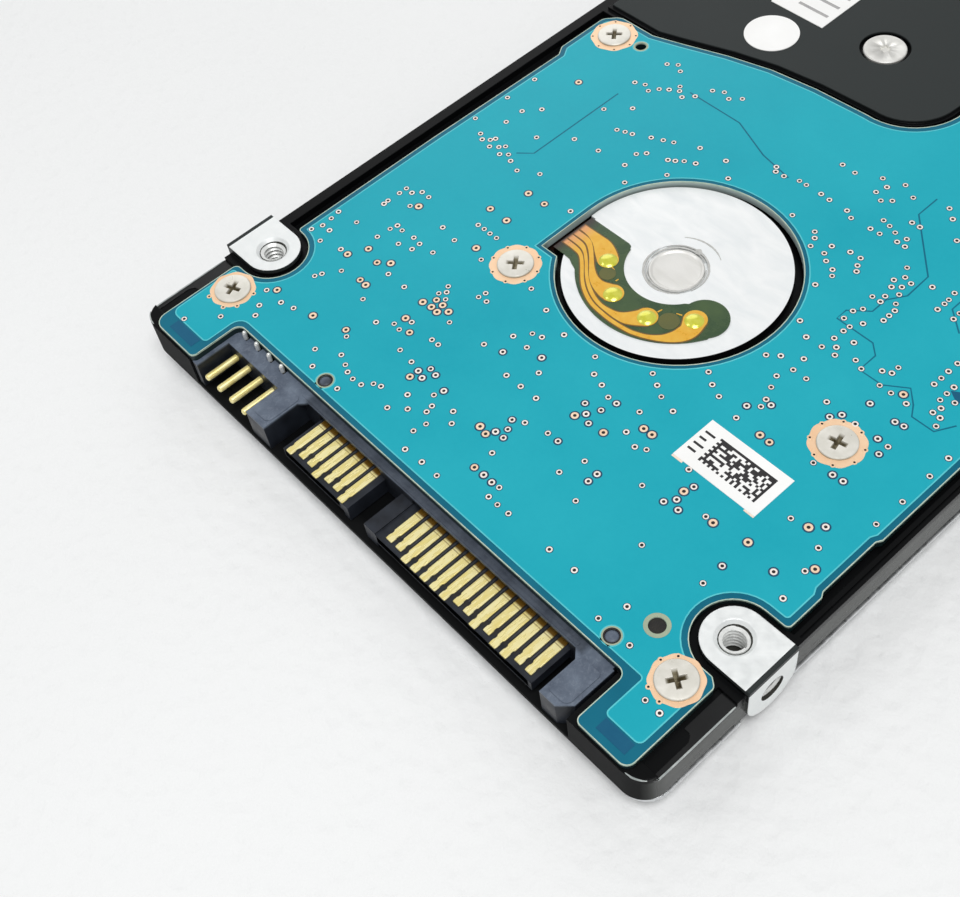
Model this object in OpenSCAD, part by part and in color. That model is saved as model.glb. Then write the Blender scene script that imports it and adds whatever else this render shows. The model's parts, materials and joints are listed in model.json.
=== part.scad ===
// 2.5-inch hard disk drive, lying on its cover with the circuit board on top.
// X runs along the connector edge, the connector edge faces -Y, Z = 0 is the cover face.

/* [Body] */
// Width across the machined mounting bosses
body_w = 69.85; // [69.6:0.05:70.1]
// Length from the connector edge to the rear edge
body_l = 100; // [100:0.05:100.45]
// Height from the cover face to the boss faces
body_h = 7; // [7:0.1:9.5]
// How far the coated side walls stand back from the bosses
wall_inset = 0.4; // [0.2:0.05:0.6]

/* [Mounting holes] */
// Spacing of the bottom holes across the width
hole_across = 61.72; // [61.6:0.02:61.8]
// Spacing of all holes along the length
hole_pitch = 76.6; // [76.4:0.05:76.8]
// Connector edge to the first holes
front_hole = 14; // [13.8:0.05:14.2]
// Side holes below the boss faces
side_drop = 3; // [2.9:0.05:3.1]
// Tapping radius of the M3 threads
tap_r = 1.25; // [1.2:0.01:1.3]

/* [Spindle] */
// Spindle axis behind the connector edge
hub_from_edge = 39.8; // [39.5:0.1:40]
// Radius of the platter
platter_r = 32.5; // [32:0.1:32.5]
// Thickness of the platter
platter_t = 0.635; // [0.5:0.005:0.7]
// Radius of the platter's centre hole
platter_bore = 10; // [9.9:0.05:10.1]

/* [Actuator] */
// Pivot axis across the drive
pivot_x = -5.4; // [-5.6:0.1:-5.2]
// Pivot axis behind the connector edge
pivot_from_edge = 77.4; // [77.2:0.1:77.6]
// Pivot to the read and write gap
arm_l = 33; // [32.8:0.1:33.2]
// Head radius when parked on the ramp
park_r = 35; // [34.8:0.1:35.2]

/* [Circuit board] */
// Thickness of the board
board_t = 0.8; // [0.6:0.05:0.9]
// Board face below the boss faces
board_drop = 0.3; // [0.25:0.05:0.4]
// Radius of the spindle window
window_r = 11.8; // [11.75:0.05:11.85]
// Window centre right of the spindle axis
window_dx = 0.4; // [0.35:0.05:0.45]
// Window centre ahead of the spindle axis
window_dy = 0.2; // [0.15:0.05:0.25]

/* [Connector] */
// Pitch of the signal and power contacts
pin_pitch = 1.27; // [1.27:0.01:1.27]
// First signal contact across the drive
first_pin_x = -11.15; // [-11.25:0.05:-11.05]
// Contact face below the boss faces
contact_drop = 2.3; // [2.2:0.05:2.4]
// Pitch of the jumper pins
jumper_pitch = 2; // [2:0.1:2]

/* [Hidden] */
$fn = 96;

// Plan positions
front_y = -body_l / 2;
hub_y = front_y + hub_from_edge;
pivot_y = front_y + pivot_from_edge;
hole_x = hole_across / 2;
hole_ys = [front_y + front_hole, front_y + front_hole + hole_pitch];
wall_x = body_w / 2 - wall_inset;
end_wall = 1.7;
boss_r = 2.85;
boss_cut_r = 3.6;
side_pad_r = 2.84;

// Levels, from the cover face up
cover_t = 0.4;
label_t = 0.08;
cover_rim_z = 1.6;
gasket_t = 0.15;
rim_z = cover_rim_z + cover_t + gasket_t;
lip_z = rim_z + 0.5;
head_roof = 4.1;
coil_roof = 4.9;
board_z = body_h - board_drop - board_t;
board_top = board_z + board_t;
pocket_z = 4.8;
gutter_z = board_z - 0.6;

// Middle and length of each groove along the side walls
side_grooves = [[0, 65], [-42.4, 5]];
rail_z = board_z + 0.2;
plateau_z = board_top;
side_hole_z = body_h - side_drop;
contact_z = body_h - contact_drop;

// Spindle levels
platter_z = 2.3;
platter_top = platter_z + platter_t;
hub_face_z = 1.3;
flange_z = 4.9;
flange_t = 1.3;
flange_r = 11.15;
flex_duct_z = 5.3;
cap_r = 2.75;
cap_z = 5.55;
running_gap = 0.02;
shaft_r = 1.25;

// Actuator geometry, worked out from the axes
pivot_to_hub = norm([pivot_x, pivot_y - hub_y]);
hub_bearing = atan2(hub_y - pivot_y, -pivot_x);
park_turn = acos((pow(pivot_to_hub, 2) + pow(arm_l, 2) - pow(park_r, 2)) / (2 * pivot_to_hub * arm_l));
arm_dir = hub_bearing + park_turn;
coil_dir = arm_dir + 180;
swing = 36;
tab_r = 34.6;
coil_in = 9.2;
coil_out = 18;
coil_half = 17;
fork_half = 2.2;
magnet_from = coil_dir - swing - 8;
magnet_to = coil_dir + 8;

// Screws
cover_screw_xy = [[-30.8, -46.6], [30.8, -46.6], [-31.2, 16.5], [31.2, 16.5], [-31.2, 46.4], [31.2, 46.4], [8, 46.8]];
board_screw_xy = [[-29.7, -41.9], [-11.5, -20.6], [24.3, -15.9], [30.1, -41.8], [-28.7, 10.1], [29, 29.5]];
board_screw_ring = 2.6;

// Arc of points about a centre
function arc(c, r, a0, a1, n) =
    [for (i = [0:n]) let (a = a0 + (a1 - a0) * i / n) [c[0] + r * cos(a), c[1] + r * sin(a)]];

function unit(v) = v / norm(v);

// Path of [x, y, corner radius] with its corners rounded
function round_path(p, n = 6) = [for (i = [0:len(p) - 1])
    let (
        c = [p[i][0], p[i][1]],
        a = p[(i + len(p) - 1) % len(p)],
        b = p[(i + 1) % len(p)],
        u = unit([a[0], a[1]] - c),
        v = unit([b[0], b[1]] - c),
        half = acos(u * v) / 2,
        r = p[i][2],
        o = c + unit(u + v) * r / sin(half),
        s = c + u * r / tan(half) - o,
        e = c + v * r / tan(half) - o,
        turn = atan2(s[0] * e[1] - s[1] * e[0], s * e)
    )
    each (r == 0 ? [c] : [for (k = [0:n]) let (t = turn * k / n)
        o + [s[0] * cos(t) - s[1] * sin(t), s[0] * sin(t) + s[1] * cos(t)]])
];

function corner_0(pts) = [for (p = pts) [p[0], p[1], 0]];

// Rear edge of the board, where the raised plateau begins, from right to left
function rear_edge(g) = concat(
    arc([0.3, 24.5], 6.5 - g, 0, -94, 12),
    [[-6.5, 17.7 + g], [-12, 17 + g], [-17, 15.7 + g], [-22, 14 + g], [-25.5, 12.9 + g]]
);

board_outline = round_path(concat(
    [[-32.2, -49.8, 1.3], [-25.5, -49.8, 0.6], [-25.5, -44.15, 0.8], [26.9, -44.15, 0.8]],
    [[26.9, -49.8, 0.6], [32.6, -49.8, 0.9], [32.6, -40.2, 0.6], [31.8, -39.6, 0.3]],
    corner_0(arc([hole_x, hole_ys[0]], boss_cut_r, 270, 90, 20)),
    [[33.2, -32.4, 0.5], [33.2, -28.4, 0.3], [32.9, -27.9, 0.3], [32.9, -21.4, 0.3], [33.2, -20.9, 0.3]],
    [[33.2, 33, 1], [32.2, 34, 1], [6.8, 34, 1.5]],
    corner_0(rear_edge(0)),
    [[-30.4, 12.9, 1.6], [-31.8, 11.4, 1.2], [-31.8, 5, 0.5], [-31.1, 3.9, 0.5], [-31.4, -14, 1]],
    [[-31.4, -32.4, 0.4]],
    corner_0(arc([-hole_x, hole_ys[0]], boss_cut_r, 90, -90, 20)),
    [[-32.2, -39.6, 0.6]]
));

module at_hub() { translate([0, hub_y, 0]) children(); }
module at_pivot() { translate([pivot_x, pivot_y, 0]) children(); }

module slab(w, l, r, z0, z1) {
    translate([0, 0, z0]) linear_extrude(z1 - z0) {
        square([w - 2 * r, l], center = true);
        square([w, l - 2 * r], center = true);
        for (sx = [-1, 1], sy = [-1, 1])
            translate([sx * (w / 2 - r), sy * (l / 2 - r)]) circle(r);
    }
}

module block(x0, x1, y0, y1, z0, z1) {
    translate([x0, y0, z0]) cube([x1 - x0, y1 - y0, z1 - z0]);
}

module disc(r, z0, z1) { translate([0, 0, z0]) cylinder(r = r, h = z1 - z0); }

module ring(ro, ri, z0, z1) {
    translate([0, 0, z0]) rotate_extrude() translate([ri, 0]) square([ro - ri, z1 - z0]);
}

// Flat sector of a ring between two angles
module sector(ri, ro, a0, a1, z0, z1) {
    translate([0, 0, z0]) linear_extrude(z1 - z0)
        polygon(concat(arc([0, 0], ri, a0, a1, 16), arc([0, 0], ro, a1, a0, 16)));
}

// ---------------------------------------------------------------- base casting

// D-shaped boss with a bottom pad and a side pad
module boss(side, y) {
    r = boss_r;
    translate([side * hole_x, y, rim_z]) {
        cylinder(r = r, h = body_h - rim_z);
        translate([side > 0 ? 0 : -(wall_x - hole_x), -r, 0])
            cube([wall_x - hole_x, 2 * r, body_h - rim_z]);
    }
    translate([side * (wall_x - 0.55), y, side_hole_z])
        rotate([0, side * 90, 0]) cylinder(r = side_pad_r, h = 0.55 + wall_inset);
    translate([side > 0 ? wall_x - 0.5 : -body_w / 2, y - side_pad_r, side_hole_z])
        cube([wall_inset + 0.5, 2 * side_pad_r, body_h - side_hole_z]);
}

module boss_bores() {
    for (sx = [-1, 1], y = hole_ys) {
        translate([sx * hole_x, y, body_h - 3.4]) cylinder(r = tap_r, h = 4);
        translate([sx * hole_x, y, body_h - 0.45]) cylinder(r1 = tap_r, r2 = 1.7, h = 0.46);
        translate([sx * (body_w / 2 - 2.5), y, side_hole_z])
            rotate([0, sx * 90, 0]) cylinder(r = tap_r, h = 3);
    }
}

// Room under the board for its parts, with pads left at the board screws
module board_pocket() {
    difference() {
        union() {
            block(-30.4, 32.2, -31, 11.4, pocket_z, board_z + 1);
            block(-25, 26.4, -41.4, -30, pocket_z, board_z + 1);
            block(8, 32.2, 11, 33, pocket_z, board_z + 1);
        }
        at_hub() disc(13.4, pocket_z - 1, board_z + 2);
        for (p = board_screw_xy)
            translate([p[0], p[1], 0]) disc(board_screw_ring + 0.3, pocket_z - 1, board_z + 2);
    }
}

// Cavity that holds the platter, the arm and the voice coil motor
module clean_cavity() {
    at_hub() disc(platter_r + 0.5, rim_z - 1, head_roof);
    at_hub() disc(12.4, rim_z - 1, flange_z - 0.15);
    difference() {
        block(-32.4, 32.4, 5, body_l / 2 - end_wall, rim_z - 1, head_roof);
        for (sx = [-1, 1]) {
            translate([sx * 31, 42.3, 2]) cube([6.4, 13.2, 6], center = true);
            translate([sx * 31.8, 16.5, 2]) cube([4.6, 5, 6], center = true);
        }
        translate([8, 48, 2]) cube([7, 6, 6], center = true);
    }
    intersection() {
        at_pivot() sector(5, 22, magnet_from - 10, magnet_to + 10, rim_z, coil_roof);
        block(-32, 0, 24, body_l / 2 - end_wall, rim_z, coil_roof);
    }
}

module plateau_plan(g) {
    polygon(concat(
        [[wall_x - 0.9 - g, 34.6 + g], [7.2 - g, 34.6 + g]],
        rear_edge(0.6 + g),
        [[-(wall_x - 1.4 - g), 13.5 + g], [-(wall_x - 1.4 - g), body_l / 2 - 1.2 - g]],
        [[wall_x - 0.9 - g, body_l / 2 - 1.2 - g]]
    ));
}

module rails() {
    // gutters between the board and the rails
    block(-33.3, -30.4, -32.2, 12.9, gutter_z, body_h);
    block(32.2, 33.6, -32.2, 34.6, gutter_z, body_h);
    // groove along the right rail
    block(34.05, 34.2, -32, 36, rail_z - 0.2, rail_z + 1);
    // lowered panels ahead of the bosses
    for (sx = [-1, 1])
        translate([sx * (wall_x - 0.9), -44, rail_z + 0.2]) cube([2.2, 8.6, 1.2], center = true);
}

module base_casting() {
    color([0.1, 0.1, 0.11]) difference() {
        union() {
            slab(2 * wall_x, body_l, 2.4, rim_z, rail_z);
            translate([0, 0, rim_z + 1]) linear_extrude(plateau_z - rim_z - 1.3) plateau_plan(0);
            translate([0, 0, plateau_z - 0.4]) linear_extrude(0.4) plateau_plan(0.4);
            for (sx = [-1, 1], y = hole_ys) boss(sx, y);
        }
        // seat of the board
        difference() {
            translate([0, 0, board_z]) linear_extrude(3) polygon(board_outline);
            translate([0, 0, board_z - 1]) linear_extrude(5) plateau_plan(0);
            for (sx = [-1, 1]) translate([sx * hole_x, hole_ys[0], board_z]) cylinder(r = boss_r, h = 4);
        }
        difference() {
            rails();
            for (sx = [-1, 1]) translate([sx * hole_x, hole_ys[0], 0]) cylinder(r = boss_r, h = 9);
        }
        board_pocket();
        clean_cavity();
        boss_bores();
        // connector opening in the front edge
        block(-26, 26.2, front_y - 1, -44.3, lip_z, body_h);
        block(-25, 26, -44.4, -41.4, pocket_z, body_h);
        // seat of the motor flange
        at_hub() disc(flange_r, flange_z - 0.5, body_h);
        translate([window_dx, -window_dy, 0]) at_hub() disc(window_r + 0.5, flex_duct_z - 0.1, body_h);
        // way out for the motor ribbon
        block(-14.5, -9, hub_y - 6.2, hub_y - 0.5, flex_duct_z - 0.1, body_h);
        // pivot screw and its seat
        at_pivot() disc(0.9, head_roof - 1, body_h);
        at_pivot() disc(2.7, plateau_z - 0.6, body_h);
        // board, cover and ramp screws
        for (p = board_screw_xy) translate([p[0], p[1], 0]) disc(0.8, head_roof + 0.2, body_h);
        for (p = cover_screw_xy) translate([p[0], p[1], 0]) disc(0.8, rim_z - 1, 4.6);
        at_pivot() rotate(arm_dir - 1) translate([37.2, 0, 0]) disc(0.5, 3, head_roof + 0.5);
        // servo port under its seal, and the flex connector's opening
        translate([-16, 21.5, 0]) disc(1.2, head_roof - 1, body_h);
        block(14, 26, 25.5, 29.5, head_roof - 1, pocket_z + 0.1);
        // grooves along both side walls, above the cover
        for (sx = [-1, 1], groove = side_grooves)
            translate([sx * (wall_x + 0.05), groove[0], rim_z + 0.1]) cube([0.6, groove[1], 0.6], center = true);
    }
}

// ---------------------------------------------------------------- cover

// Plan of the raised panel, cut back around the screws
module panel_plan(inset) {
    difference() {
        union() {
            square([62 - 2 * inset, 95.6 - 2 * inset - 18], center = true);
            square([62 - 2 * inset - 18, 95.6 - 2 * inset], center = true);
            for (sx = [-1, 1], sy = [-1, 1]) translate([sx * 22, sy * 38.8]) circle(9 - inset);
        }
        for (p = cover_screw_xy) translate(p) circle(2.3 + inset);
    }
}

module top_cover() {
    color([0.78, 0.79, 0.8]) difference() {
        union() {
            slab(2 * wall_x + 0.2, body_l - 0.4, 2.4, cover_rim_z, cover_rim_z + cover_t);
            linear_extrude(cover_rim_z + 0.1) panel_plan(0);
        }
        for (sx = [-1, 1], y = hole_ys)
            translate([sx * (wall_x + 0.2), y, cover_rim_z]) cube([1.8, 2 * side_pad_r + 0.6, 4], center = true);
        translate([0, 0, cover_t]) linear_extrude(4) panel_plan(cover_t);
        slab(50, 74, 3, -1, label_t);
        for (p = cover_screw_xy) translate([p[0], p[1], 0]) disc(1.05, 0, 3);
        translate([18, 39.5, 0]) disc(0.6, -1, 2);
    }
}

module cover_gasket() {
    color([0.16, 0.16, 0.17]) difference() {
        slab(67, body_l - 1.6, 2, rim_z - gasket_t, rim_z);
        slab(66, body_l - 3, 1.5, 0, 3);
    }
}

// Flat-head screw with a six-lobe socket, head at the cover side
module cover_screw(top) {
    difference() {
        union() {
            disc(1.75, cover_rim_z - 0.4, cover_rim_z);
            disc(0.78, cover_rim_z - 0.1, top);
        }
        translate([0, 0, cover_rim_z - 0.5]) cylinder(r = 0.62, h = 0.3, $fn = 6);
    }
}

module cover_screws() {
    color([0.72, 0.72, 0.74]) for (p = cover_screw_xy) translate([p[0], p[1], 0]) cover_screw(4.5);
}

module cover_label() { color([0.93, 0.93, 0.91]) slab(50, 74, 3, 0, label_t); }

// ---------------------------------------------------------------- circuit board

module circuit_board() {
    color([0.08, 0.62, 0.68]) difference() {
        translate([0, 0, board_z]) linear_extrude(board_t) polygon(board_outline);
        translate([window_dx, -window_dy, 0]) {
            at_hub() disc(window_r, 0, 9);
            block(-window_r, -6, hub_y - 6.7, hub_y, 0, 9);
        }
        for (p = board_screw_xy) translate([p[0], p[1], 0]) disc(1.1, 0, 9);
        translate([-25.2, 10.7, 0]) disc(0.6, 0, 9);
        translate([25.7, -39.4, 0]) disc(0.75, 0, 9);
        for (p = peg_xy) translate([p[0], p[1], 0]) disc(peg_r + 0.06, 0, 9);
    }
}

module board_screws() {
    color([0.85, 0.84, 0.8]) for (p = board_screw_xy) translate([p[0], p[1], 0]) difference() {
        union() {
            disc(1.85, board_top, board_top + 0.26);
            disc(0.78, head_roof + 0.4, board_top + 0.1);
        }
        for (a = [20, 110]) rotate(a)
            translate([-0.9, -0.18, board_top + 0.08]) cube([1.8, 0.36, 1]);
    }
}

module chip(x, y, w, l, h, turn = 0) {
    translate([x, y, board_z - h]) rotate(turn) translate([-w / 2, -l / 2, 0]) cube([w, l, h]);
}

module controller_chip() { color([0.12, 0.12, 0.13]) chip(-7, -34, 11, 11, 0.9); }
module motor_driver_chip() { color([0.12, 0.12, 0.13]) chip(21, -2.5, 7, 7, 0.85); }
module memory_chip() { color([0.12, 0.12, 0.13]) chip(-21, -26, 8, 6, 0.85); }

module board_passives() {
    color([0.6, 0.5, 0.38]) {
        for (i = [0:4]) chip(4 + 2.4 * i, -29.5, 1, 0.5, 0.45);
        for (i = [0:3]) chip(6 + 2.2 * i, -36, 1, 0.5, 0.45);
        for (i = [0:3]) chip(-27, -1.5 - 2 * i, 1.6, 0.8, 0.6);
        for (i = [0:2]) chip(28.5, -1 - 3 * i, 2, 1.6, 0.85);
        for (i = [0:3]) chip(15, 6 + 1.6 * i, 1, 0.5, 0.45, 30);
        chip(28, -24, 3.2, 2.5, 0.9);
        chip(-20, 4, 3.2, 2.5, 0.9);
    }
}

module head_connector() { color([0.9, 0.88, 0.8]) chip(20, 27.5, 11, 2.6, 1.6); }

// ---------------------------------------------------------------- interface connector

tongue_t = 1.2;
tongue_y = -49.5;
bar_y = -45.1;
undercut_y = -44.6;
signal_x = [-11.95, -2.4];
power_x = [0, 21.5];
jumper_x = -24.3;
jumper_half = 0.34;
jumper_bar_y = -46;
peg_xy = [[-13.8, -42.6], [23.8, -42.6]];
peg_r = 0.6;

module sata_housing() {
    z0 = lip_z;
    color([0.2, 0.22, 0.27]) {
        difference() {
            union() {
                // rear bar and the shelf under the board
                block(-25.8, 25.8, bar_y, -44.35, z0, board_z);
                block(-24.8, 25.6, -44.5, -41.6, pocket_z + 0.1, board_z);
                // wider bar behind the jumper pins
                block(-25.8, -16, jumper_bar_y, bar_y + 0.1, z0, board_z);
                // end walls and divider
                block(-25.8, -25.1, -49.8, bar_y + 0.1, z0, board_z);
                block(-17, -14.2, -49.8, bar_y + 0.1, z0, board_z);
                block(22.9, 25.8, -49.8, bar_y + 0.1, z0, board_z);
                // tongues with their keys
                for (t = [signal_x, power_x])
                    block(t[0], t[1], tongue_y, bar_y + 0.1, contact_z - tongue_t, contact_z);
                block(signal_x[1] - 0.8, signal_x[1], tongue_y, bar_y + 0.1, contact_z - 1.9, contact_z);
                block(power_x[0], power_x[0] + 1.5, tongue_y, bar_y + 0.1, contact_z - 1.9, contact_z + 0.2);
            }
            // chamfer on the right end wall
            translate([25.8, -49.8, 0]) rotate(45) cube([1.6, 1.6, 20], center = true);
            // slots where the jumper pins pass the bar
            for (i = [0:3]) translate([jumper_x + jumper_pitch * i, 0, contact_z]) {
                block(-jumper_half, jumper_half, jumper_bar_y - 1, -44.3, -2 * jumper_half, 0);
                block(-jumper_half, jumper_half, -44.65, -44, -2 * jumper_half, 2);
            }
            // the bar is undercut above the contacts
            for (x = [[signal_x[0] + 0.05, signal_x[1] - 0.6], [power_x[0] + 1.5, power_x[1] - 0.1]])
                block(x[0], x[1], bar_y - 0.1, undercut_y, contact_z, board_z - 0.35);
        }
        for (p = peg_xy) translate([p[0], p[1], 0]) disc(peg_r, board_z - 0.1, board_top - 0.15);
    }
}

// One contact: a strip along the tongue that climbs the back of the undercut
module contact(i, l) {
    x = first_pin_x + pin_pitch * i;
    block(x - 0.42, x + 0.42, bar_y - 0.1 - l, undercut_y - 0.02, contact_z, contact_z + 0.1);
    block(x - 0.42, x + 0.42, undercut_y - 0.12, undercut_y, contact_z, board_z - 0.4);
}

contact_l = 3.8;
long_extra = 0.5;

module signal_pins() {
    color([0.92, 0.8, 0.45]) for (i = [0:6])
        contact(i, contact_l + ((i % 3 == 0) ? long_extra : 0));
}

module power_pins() {
    long = [2, 3, 4, 5, 6, 9, 11, 12];
    color([0.92, 0.8, 0.45]) for (i = [0:14])
        contact(11 + i, contact_l + (len(search(i, long)) > 0 ? long_extra : 0));
}

module jumper_pins() {
    color([0.92, 0.8, 0.45]) for (i = [0:3])
        translate([jumper_x + jumper_pitch * i, 0, contact_z - jumper_half]) {
            block(-jumper_half, jumper_half, -49.7, -44.3, -jumper_half, jumper_half);
            block(-0.28, 0.28, -44.6, -44.3, 0.2, board_top - contact_z + jumper_half);
        }
}

// ---------------------------------------------------------------- labels

module matrix_label() {
    color([0.95, 0.95, 0.93]) block(15, 24.3, -26.4, -21.4, board_top, board_top + label_t);
}

module servo_port_seal() {
    color([0.93, 0.93, 0.92]) translate([-16, 21.5, 0]) disc(3, plateau_z, plateau_z + label_t);
}

module info_label() {
    color([0.93, 0.93, 0.92]) block(-19.7, -12.5, 25.6, 45, plateau_z, plateau_z + label_t);
}

// ---------------------------------------------------------------- spindle motor

module motor_flange() {
    color([0.86, 0.86, 0.87]) at_hub() difference() {
        union() {
            disc(flange_r, flange_z, flange_z + flange_t);
            disc(4.6, 4, flange_z + 0.1);
        }
        disc(2.5, 0, 9);
        disc(cap_r, cap_z, 9);
        ring(3.2, cap_r - 0.1, flange_z + flange_t - 0.25, 9);
        // slot where the ribbon turns down
        block(-12, -10.5, -6.1, -0.5, flex_duct_z - 0.1, 9);
    }
}

module bearing_cap() {
    color([0.84, 0.84, 0.83]) at_hub() disc(cap_r, cap_z, flange_z + flange_t - 0.05);
}

flex_y = [-5.8, -0.7];
flex_t = 0.1;
lobe = [6.3, -2.8];
lobe_r = 2.35;

// Ribbon that lies on the flange, turns down through a slot and leaves under the board
module motor_flex() {
    z0 = flange_z + flange_t;
    color([0.2, 0.32, 0.2]) at_hub() {
        translate([0, 0, z0]) linear_extrude(flex_t) {
            polygon(concat(
                [[-10.8, flex_y[1]], [-5.4, flex_y[1]], [-5, flex_y[1] - 0.4]],
                arc([-0.3, 0], 4.8, 194, 331, 20),
                arc([-0.3, 0], 9.55, 333, 222, 20),
                [[-8.2, flex_y[0] - 0.3], [-9.2, flex_y[0] - 0.1], [-10.8, flex_y[0] - 0.1]]
            ));
            translate(lobe) circle(lobe_r);
        }
        block(-10.8, -10.7, flex_y[0], flex_y[1], flex_duct_z, z0 + flex_t / 2);
        block(-14, -10.75, flex_y[0], flex_y[1], flex_duct_z, flex_duct_z + flex_t);
    }
}

flex_joint_xy = [[-5.5, -3.7], [-2.1, -6.5], [2.3, -6.4], [5.8, -3.7]];

module flex_solder_joints() {
    z0 = flange_z + flange_t + flex_t;
    color([0.86, 0.84, 0.3]) at_hub() for (p = flex_joint_xy) translate([p[0], p[1], z0])
        intersection() {
            translate([0, 0, -1.2]) sphere(r = 1.45);
            cylinder(r = 0.85, h = 0.25);
        }
}

module stator_core() {
    color([0.45, 0.45, 0.48]) at_hub() translate([0, 0, 3.8]) linear_extrude(0.7) difference() {
        union() {
            circle(6.2);
            for (i = [0:8]) rotate(40 * i) {
                translate([5.8, -0.55]) square([3.3, 1.1]);
                polygon([[8.7, -0.9], [9.1, -2.3], [9.5, 0], [9.1, 2.3], [8.7, 0.9]]);
            }
        }
        circle(4.6);
    }
}

module stator_coils() {
    color([0.72, 0.42, 0.2]) at_hub() for (i = [0:8]) rotate(40 * i) difference() {
        translate([6.3, -1.3, 3.45]) cube([2.4, 2.6, 1.4]);
        translate([6, -0.55, 3.8]) cube([3, 1.1, 0.7]);
    }
}

module bearing_sleeve() {
    color([0.7, 0.62, 0.4]) at_hub() ring(2.5, shaft_r + running_gap, 2.4, cap_z);
}

module spindle_shaft() {
    color([0.8, 0.8, 0.82]) at_hub() difference() {
        disc(shaft_r, hub_face_z, 5.1);
        disc(0.5, 0, 2.6);
    }
}

module rotor_hub() {
    color([0.82, 0.82, 0.84]) at_hub() difference() {
        union() {
            disc(platter_bore - 0.04, hub_face_z, platter_top);
            disc(12, platter_top, 4.6);
        }
        disc(shaft_r, 0, 9);
        ring(11, 2.7, 3.3, 9);
        disc(2.7, 2.3, 9);
    }
}

module rotor_magnet() { color([0.35, 0.35, 0.37]) at_hub() ring(11, 9.85, 3.3, 4.6); }

module platter() {
    color([0.83, 0.84, 0.86]) at_hub() ring(platter_r, platter_bore, platter_z, platter_top);
}

module disk_clamp() {
    color([0.8, 0.8, 0.82]) at_hub() {
        difference() {
            disc(11.8, hub_face_z - 0.3, platter_z);
            disc(10.2, hub_face_z, 9);
            disc(0.55, 0, 9);
            for (i = [0:5]) rotate(60 * i) translate([6.4, 0, 0]) disc(0.8, 0, 9);
        }
    }
}

module clamp_screw() {
    color([0.6, 0.6, 0.62]) at_hub() difference() {
        union() {
            disc(2.4, 0.6, 1);
            disc(0.5, 0.9, 2.5);
        }
        translate([0, 0, 0.5]) cylinder(r = 0.9, h = 0.35, $fn = 6);
    }
}

// ---------------------------------------------------------------- head actuator

module pivot_shaft() {
    color([0.8, 0.8, 0.82]) at_pivot() difference() {
        disc(1.6, 0.75, head_roof);
        disc(0.7, 0, 9);
    }
}

module pivot_screw() {
    color([0.7, 0.7, 0.7]) at_pivot() difference() {
        union() {
            disc(2.35, plateau_z - 0.6, plateau_z - 0.05);
            disc(0.7, 2, plateau_z - 0.5);
        }
        translate([0, 0, plateau_z - 0.3]) cylinder(r = 0.85, h = 1, $fn = 6);
    }
}

module pivot_bearings() {
    color([0.75, 0.75, 0.77]) at_pivot() for (z = [0.95, 2.95])
        ring(3.2, 1.6 + running_gap, z, z + 1);
}

arm_zs = [1.3, 3.4];
arm_t = 0.5;

// Tapered arm in the parked direction
module arm_blade(z) {
    rotate(arm_dir) translate([0, 0, z]) linear_extrude(arm_t) difference() {
        polygon([[2, -5], [8, -4.2], [22.5, -1.6], [22.5, 1.6], [8, 4.2], [2, 5]]);
        translate([12, 0]) circle(1.5);
        translate([17, 0]) circle(1);
    }
}

module actuator_arm() {
    color([0.78, 0.79, 0.8]) at_pivot() difference() {
        union() {
            disc(5.2, 0.95, 3.95);
            for (z = arm_zs) arm_blade(z);
            // fork that holds the coil
            for (s = [-1, 1])
                sector(4.6, coil_out - 1, coil_dir + s * (coil_half + fork_half) - fork_half,
                    coil_dir + s * (coil_half + fork_half) + fork_half, 2.2, 3);
        }
        disc(3.2, 0, 9);
    }
}

// Wedge-shaped winding, two straight sides and two arcs
module voice_coil() {
    color([0.72, 0.4, 0.18]) at_pivot() difference() {
        sector(coil_in, coil_out, coil_dir - coil_half, coil_dir + coil_half, 2.15, 3.05);
        sector(coil_in + 2.4, coil_out - 2, coil_dir - coil_half + 9, coil_dir + coil_half - 9, 0, 9);
    }
}

// Load beams on the platter side of each arm, each ending in a lift tab

module head_suspensions() {
    color([0.8, 0.8, 0.78]) at_pivot() rotate(arm_dir) for (s = [-1, 1]) {
        face = s > 0 ? arm_zs[1] : arm_zs[0] + arm_t;
        z0 = s > 0 ? face - 0.1 : face;
        translate([0, 0, z0]) linear_extrude(0.1)
            polygon([[19, -1.8], [23.5, -1.8], [33.6, -0.6], [33.6, 0.6], [23.5, 1.8], [19, 1.8]]);
        translate([33.4, -0.25, z0]) cube([1.8, 0.5, 0.1]);
    }
}

module head_sliders() {
    color([0.25, 0.25, 0.27]) at_pivot() rotate(arm_dir) for (s = [-1, 1]) {
        z0 = s > 0 ? platter_top + 0.1 : arm_zs[0] + arm_t + 0.1;
        z1 = s > 0 ? arm_zs[1] - 0.1 : platter_z - 0.1;
        translate([arm_l - 0.6, -0.35, z0]) cube([0.85, 0.7, z1 - z0]);
    }
}

module preamp_chip() {
    color([0.13, 0.13, 0.14]) at_pivot() rotate(arm_dir + 62) translate([5.24, -1, 1.9]) cube([0.7, 2, 1.4]);
}

// Flexible printed circuit from the bracket to the arm root
module head_flex() {
    color([0.75, 0.5, 0.2]) translate([0, 0, 1.3]) linear_extrude(2)
        polygon(concat(arc([4.8, 31], 5.37, 0, 178, 20), arc([4.8, 31], 5.25, 178, 0, 20)));
}

module flex_bracket() {
    color([0.8, 0.78, 0.72]) difference() {
        union() {
            block(12.5, 27, 24.5, 30.5, 3.3, head_roof);
            block(15, 25, 26, 29, 3.3, board_z - 1.6);
            block(10.2, 13.2, 28.8, 31.4, 1.3, head_roof);
        }
        translate([26, 25.4, 0]) disc(0.5, 0, 9);
    }
}

// ---------------------------------------------------------------- voice coil motor

yoke_in = 7;
yoke_out = 19;
post_at = 19.4;

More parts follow.
